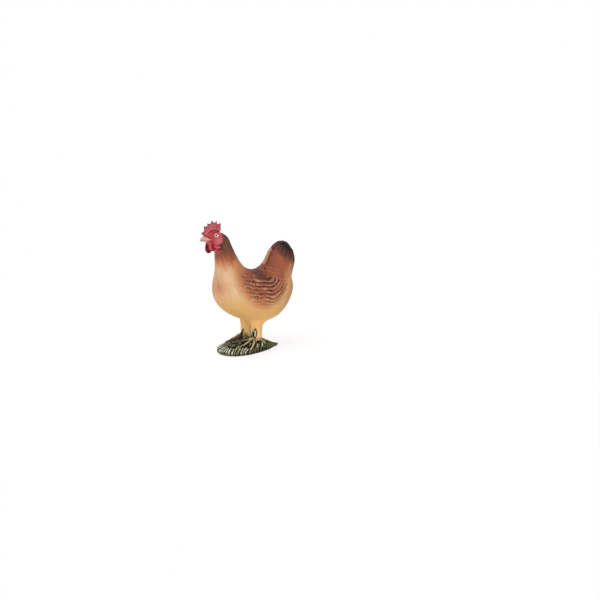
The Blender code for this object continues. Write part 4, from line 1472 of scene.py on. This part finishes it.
def tuft_pieces(finish):
    """Standing blades of grass that face sideways. Each widens from its root and closes to a point
    as a sine of a power of its height, is thin, and has a raised middle rib. The leaf's width is
    half an ellipse above a narrow stalk."""
    rings, around = GRIDS["tuft"]
    share = np.linspace(0, 1, rings)
    turn = full_turn(around)
    for number, (x, y, height, half, lean, pale) in enumerate(TUFTS):
        leaf = number == OVAL_LEAF
        foot = mound_height(x, y) - SUNK
        path_z = foot + share * (height + SUNK)
        path = np.stack([np.full_like(share, x), y + lean * share**1.5, path_z], axis=1)
        if leaf:
            width = np.sqrt(np.clip(1 - ((share - 0.72) / 0.29) ** 2, 0.05, 1)) * (1 - share**12)
        else:
            width = (0.3 + 0.7 * np.sin(math.pi * share**0.75)) * (1 - share**6)
        width = np.maximum(half * width, 0.03)[:, None]
        rib = 0.4 + 0.5 * np.abs(np.sin(turn)) ** 3
        points = (path[:, None, :] + (width * np.cos(turn))[..., None] * BLADE_ACROSS
                  + (width * rib * np.sin(turn) * 0.6)[..., None] * BLADE_THROUGH)
        middle = 1 - np.abs(np.cos(turn)) - (0.2 if leaf else 0)
        low = 0.48 if leaf else 0.1
        tall = between(share, low, low + 0.1, 0.82, 0.94)[:, None]
        light = smooth(middle, 0.35, 0.65) * tall
        edge = np.clip(1 - 1.5 * smooth(middle, 0.35, 0.6) * tall, 0, 0.9 if pale > 0 else 0.4)
        if leaf:
            edge = edge * smooth(share, 0.38, 0.46)[:, None]
        masks = {"crest": light * np.clip(0.4 + pale, 0, 1), "pale": light * max(pale, 0),
                 "brown_coat": 1.0 if pale < 0 else 0.5, "gap": edge}
        piece(f"tuft_blade_{number + 1}", points, finish, masks)


# Stage, light and camera

# Directions are an azimuth, from the front towards the hen's left, and an elevation, in degrees.
CAMERA_FROM = (67, 14)
CAMERA_DISTANCE = 0.6
SENSOR_WIDTH = 36
METRES_PER_PIXEL = 0.367e-3
ORIGIN_PIXEL = (248.2, 349.2)
FRAME_PIXELS = 600

# Each lamp's direction, its size in metres and its power in watts.
LAMPS = {
    "key_light": ((20, 52), 0.5, 1.05),
    "fill_light": ((62, 12), 0.2, 0.5),
    "side_light": ((110, 35), 0.6, 0.4),
    "back_light": ((235, 45), 0.5, 0.5),
}
LAMP_DISTANCE = 0.5
LAMP_AIM = Vector((0, 0, 0.025))


def direction(azimuth, elevation):
    """The unit vector towards that direction."""
    a = math.radians(azimuth)
    e = math.radians(elevation)
    return Vector((math.sin(a) * math.cos(e), -math.cos(a) * math.cos(e), math.sin(e)))


def set_up(name, data, location, back):
    """A camera or lamp at that place, with its back in that direction."""
    made = bpy.data.objects.new(name, data)
    made.location = location
    made.rotation_mode = "QUATERNION"
    made.rotation_quaternion = back.to_track_quat("Z", "Y")
    bpy.context.scene.collection.objects.link(made)
    return made


def camera():
    """A camera that shows the origin at ORIGIN_PIXEL, with METRES_PER_PIXEL there."""
    back = direction(*CAMERA_FROM)
    right = direction(CAMERA_FROM[0] + 90, 0)
    up = back.cross(right)
    aim = right * (FRAME_PIXELS / 2 - ORIGIN_PIXEL[0]) + up * (ORIGIN_PIXEL[1] - FRAME_PIXELS / 2)
    data = bpy.data.cameras.new("camera")
    data.sensor_width = SENSOR_WIDTH
    data.lens = CAMERA_DISTANCE * SENSOR_WIDTH / (FRAME_PIXELS * METRES_PER_PIXEL)
    data.clip_start = 0.01
    made = set_up("camera", data, aim * METRES_PER_PIXEL + back * CAMERA_DISTANCE, back)
    bpy.context.scene.camera = made


def lamp(name, way, size, power):
    """A square soft light that faces the hen from that direction."""
    data = bpy.data.lights.new(name, "AREA")
    data.size = size
    data.energy = power
    way = direction(*way)
    set_up(name, data, LAMP_AIM + way * LAMP_DISTANCE, way)


def white_to_camera(tree, shown, plain):
    """Mixes two shaders: the first for what the camera, gloss and glass see, the second for light."""
    path = add_node(tree, "LightPath")
    seen = path.outputs["Is Camera Ray"]
    for ray in ("Is Glossy Ray", "Is Transmission Ray"):
        seen = add_node(tree, "Math", {0: seen, 1: path.outputs[ray]}, operation="MAXIMUM").outputs[0]
    return add_node(tree, "MixShader", {0: seen, 1: plain, 2: shown}).outputs[0]


# The strength of the light all round, what the floor adds to it as its own white near the hen,
# and how far from the hen that floor turns into plain white, in metres.
WORLD_LIGHT = 0.5
FLOOR_GLOW = 0.58
FLOOR_SHADOW_REACH = (0.05, 0.16)
FLOOR_HALF = 3.0


def world():
    """Even white light all round, and plain white behind the floor."""
    made = bpy.data.worlds.new("studio")
    made.use_nodes = True
    tree = made.node_tree
    light = tree.nodes["Background"]
    light.inputs["Color"].default_value = WHITE
    light.inputs["Strength"].default_value = WORLD_LIGHT
    shown = add_node(tree, "Background", {"Color": WHITE})
    result = white_to_camera(tree, shown.outputs[0], light.outputs[0])
    tree.links.new(result, tree.nodes["World Output"].inputs["Surface"])
    bpy.context.scene.world = made


def floor():
    """A wide pale floor. Near the hen it is part matt paint, which keeps the shadow, and part its
    own white. Farther away it is all its own white."""
    mesh = bpy.data.meshes.new("floor")
    half = FLOOR_HALF
    corners = [(-half, -half, 0), (half, -half, 0), (half, half, 0), (-half, half, 0)]
    mesh.from_pydata(corners, [], [(0, 1, 2, 3)])
    material = bpy.data.materials.new("floor_paint")
    material.use_nodes = True
    tree = material.node_tree
    tree.nodes.remove(tree.nodes["Principled BSDF"])
    plain = add_node(tree, "BsdfDiffuse", {"Color": (0.9, 0.9, 0.9, 1)}).outputs[0]
    matt = add_node(tree, "BsdfDiffuse", {"Color": (0.5, 0.5, 0.5, 1)}).outputs[0]
    glow = add_node(tree, "Emission", {"Color": WHITE, "Strength": FLOOR_GLOW}).outputs[0]
    both = add_node(tree, "AddShader", {0: matt, 1: glow}).outputs[0]
    white = add_node(tree, "Emission", {"Color": WHITE}).outputs[0]
    place = add_node(tree, "TexCoord").outputs["Object"]
    away = add_node(tree, "VectorMath", {0: place}, operation="LENGTH").outputs["Value"]
    ends = {"Value": away, "From Min": FLOOR_SHADOW_REACH[0], "From Max": FLOOR_SHADOW_REACH[1]}
    fade = add_node(tree, "MapRange", ends, interpolation_type="SMOOTHSTEP").outputs["Result"]
    faded = add_node(tree, "MixShader", {0: fade, 1: both, 2: white}).outputs[0]
    result = white_to_camera(tree, faded, plain)
    tree.links.new(result, tree.nodes["Material Output"].inputs["Surface"])
    mesh.materials.append(material)
    made = bpy.data.objects.new("floor", mesh)
    bpy.context.scene.collection.objects.link(made)


def main():
    """Every piece, then the stage."""
    plumage = plumage_finish()
    plumage_piece("body", NECK_RIM - NECK_LIP, TAIL_ROOT, plumage)
    plumage_piece("tail", TAIL_ROOT, TAIL_END - 1, plumage)
    head_piece(flesh_finish("skin_paint", FLESH, CHEEK, DEEP_RED))
    comb_piece(flesh_finish("comb_paint", COMB_RED, ROSE, COMB_TIP))
    beak_piece(beak_finish())
    wattle = flesh_finish("wattle_paint", WATTLE_RED, WATTLE_HIGHLIGHT, WATTLE_SHADE)
    for name, (side, drop, back) in WATTLES.items():
        wattle_piece(name, side, drop, back, wattle)
    eye_pieces(eye_finish())
    legs = leg_finish()
    for name, side in (("left_leg", 1), ("right_leg", -1)):
        shank_piece(name, side, legs)
        toe_pieces(name, side, legs)
    grass = grass_finish()
    mound_piece(grass)
    tuft_pieces(grass)
    camera()
    for name, (way, size, power) in LAMPS.items():
        lamp(name, way, size, power)
    world()
    floor()
    bpy.context.scene.view_settings.view_transform = "Standard"


main()
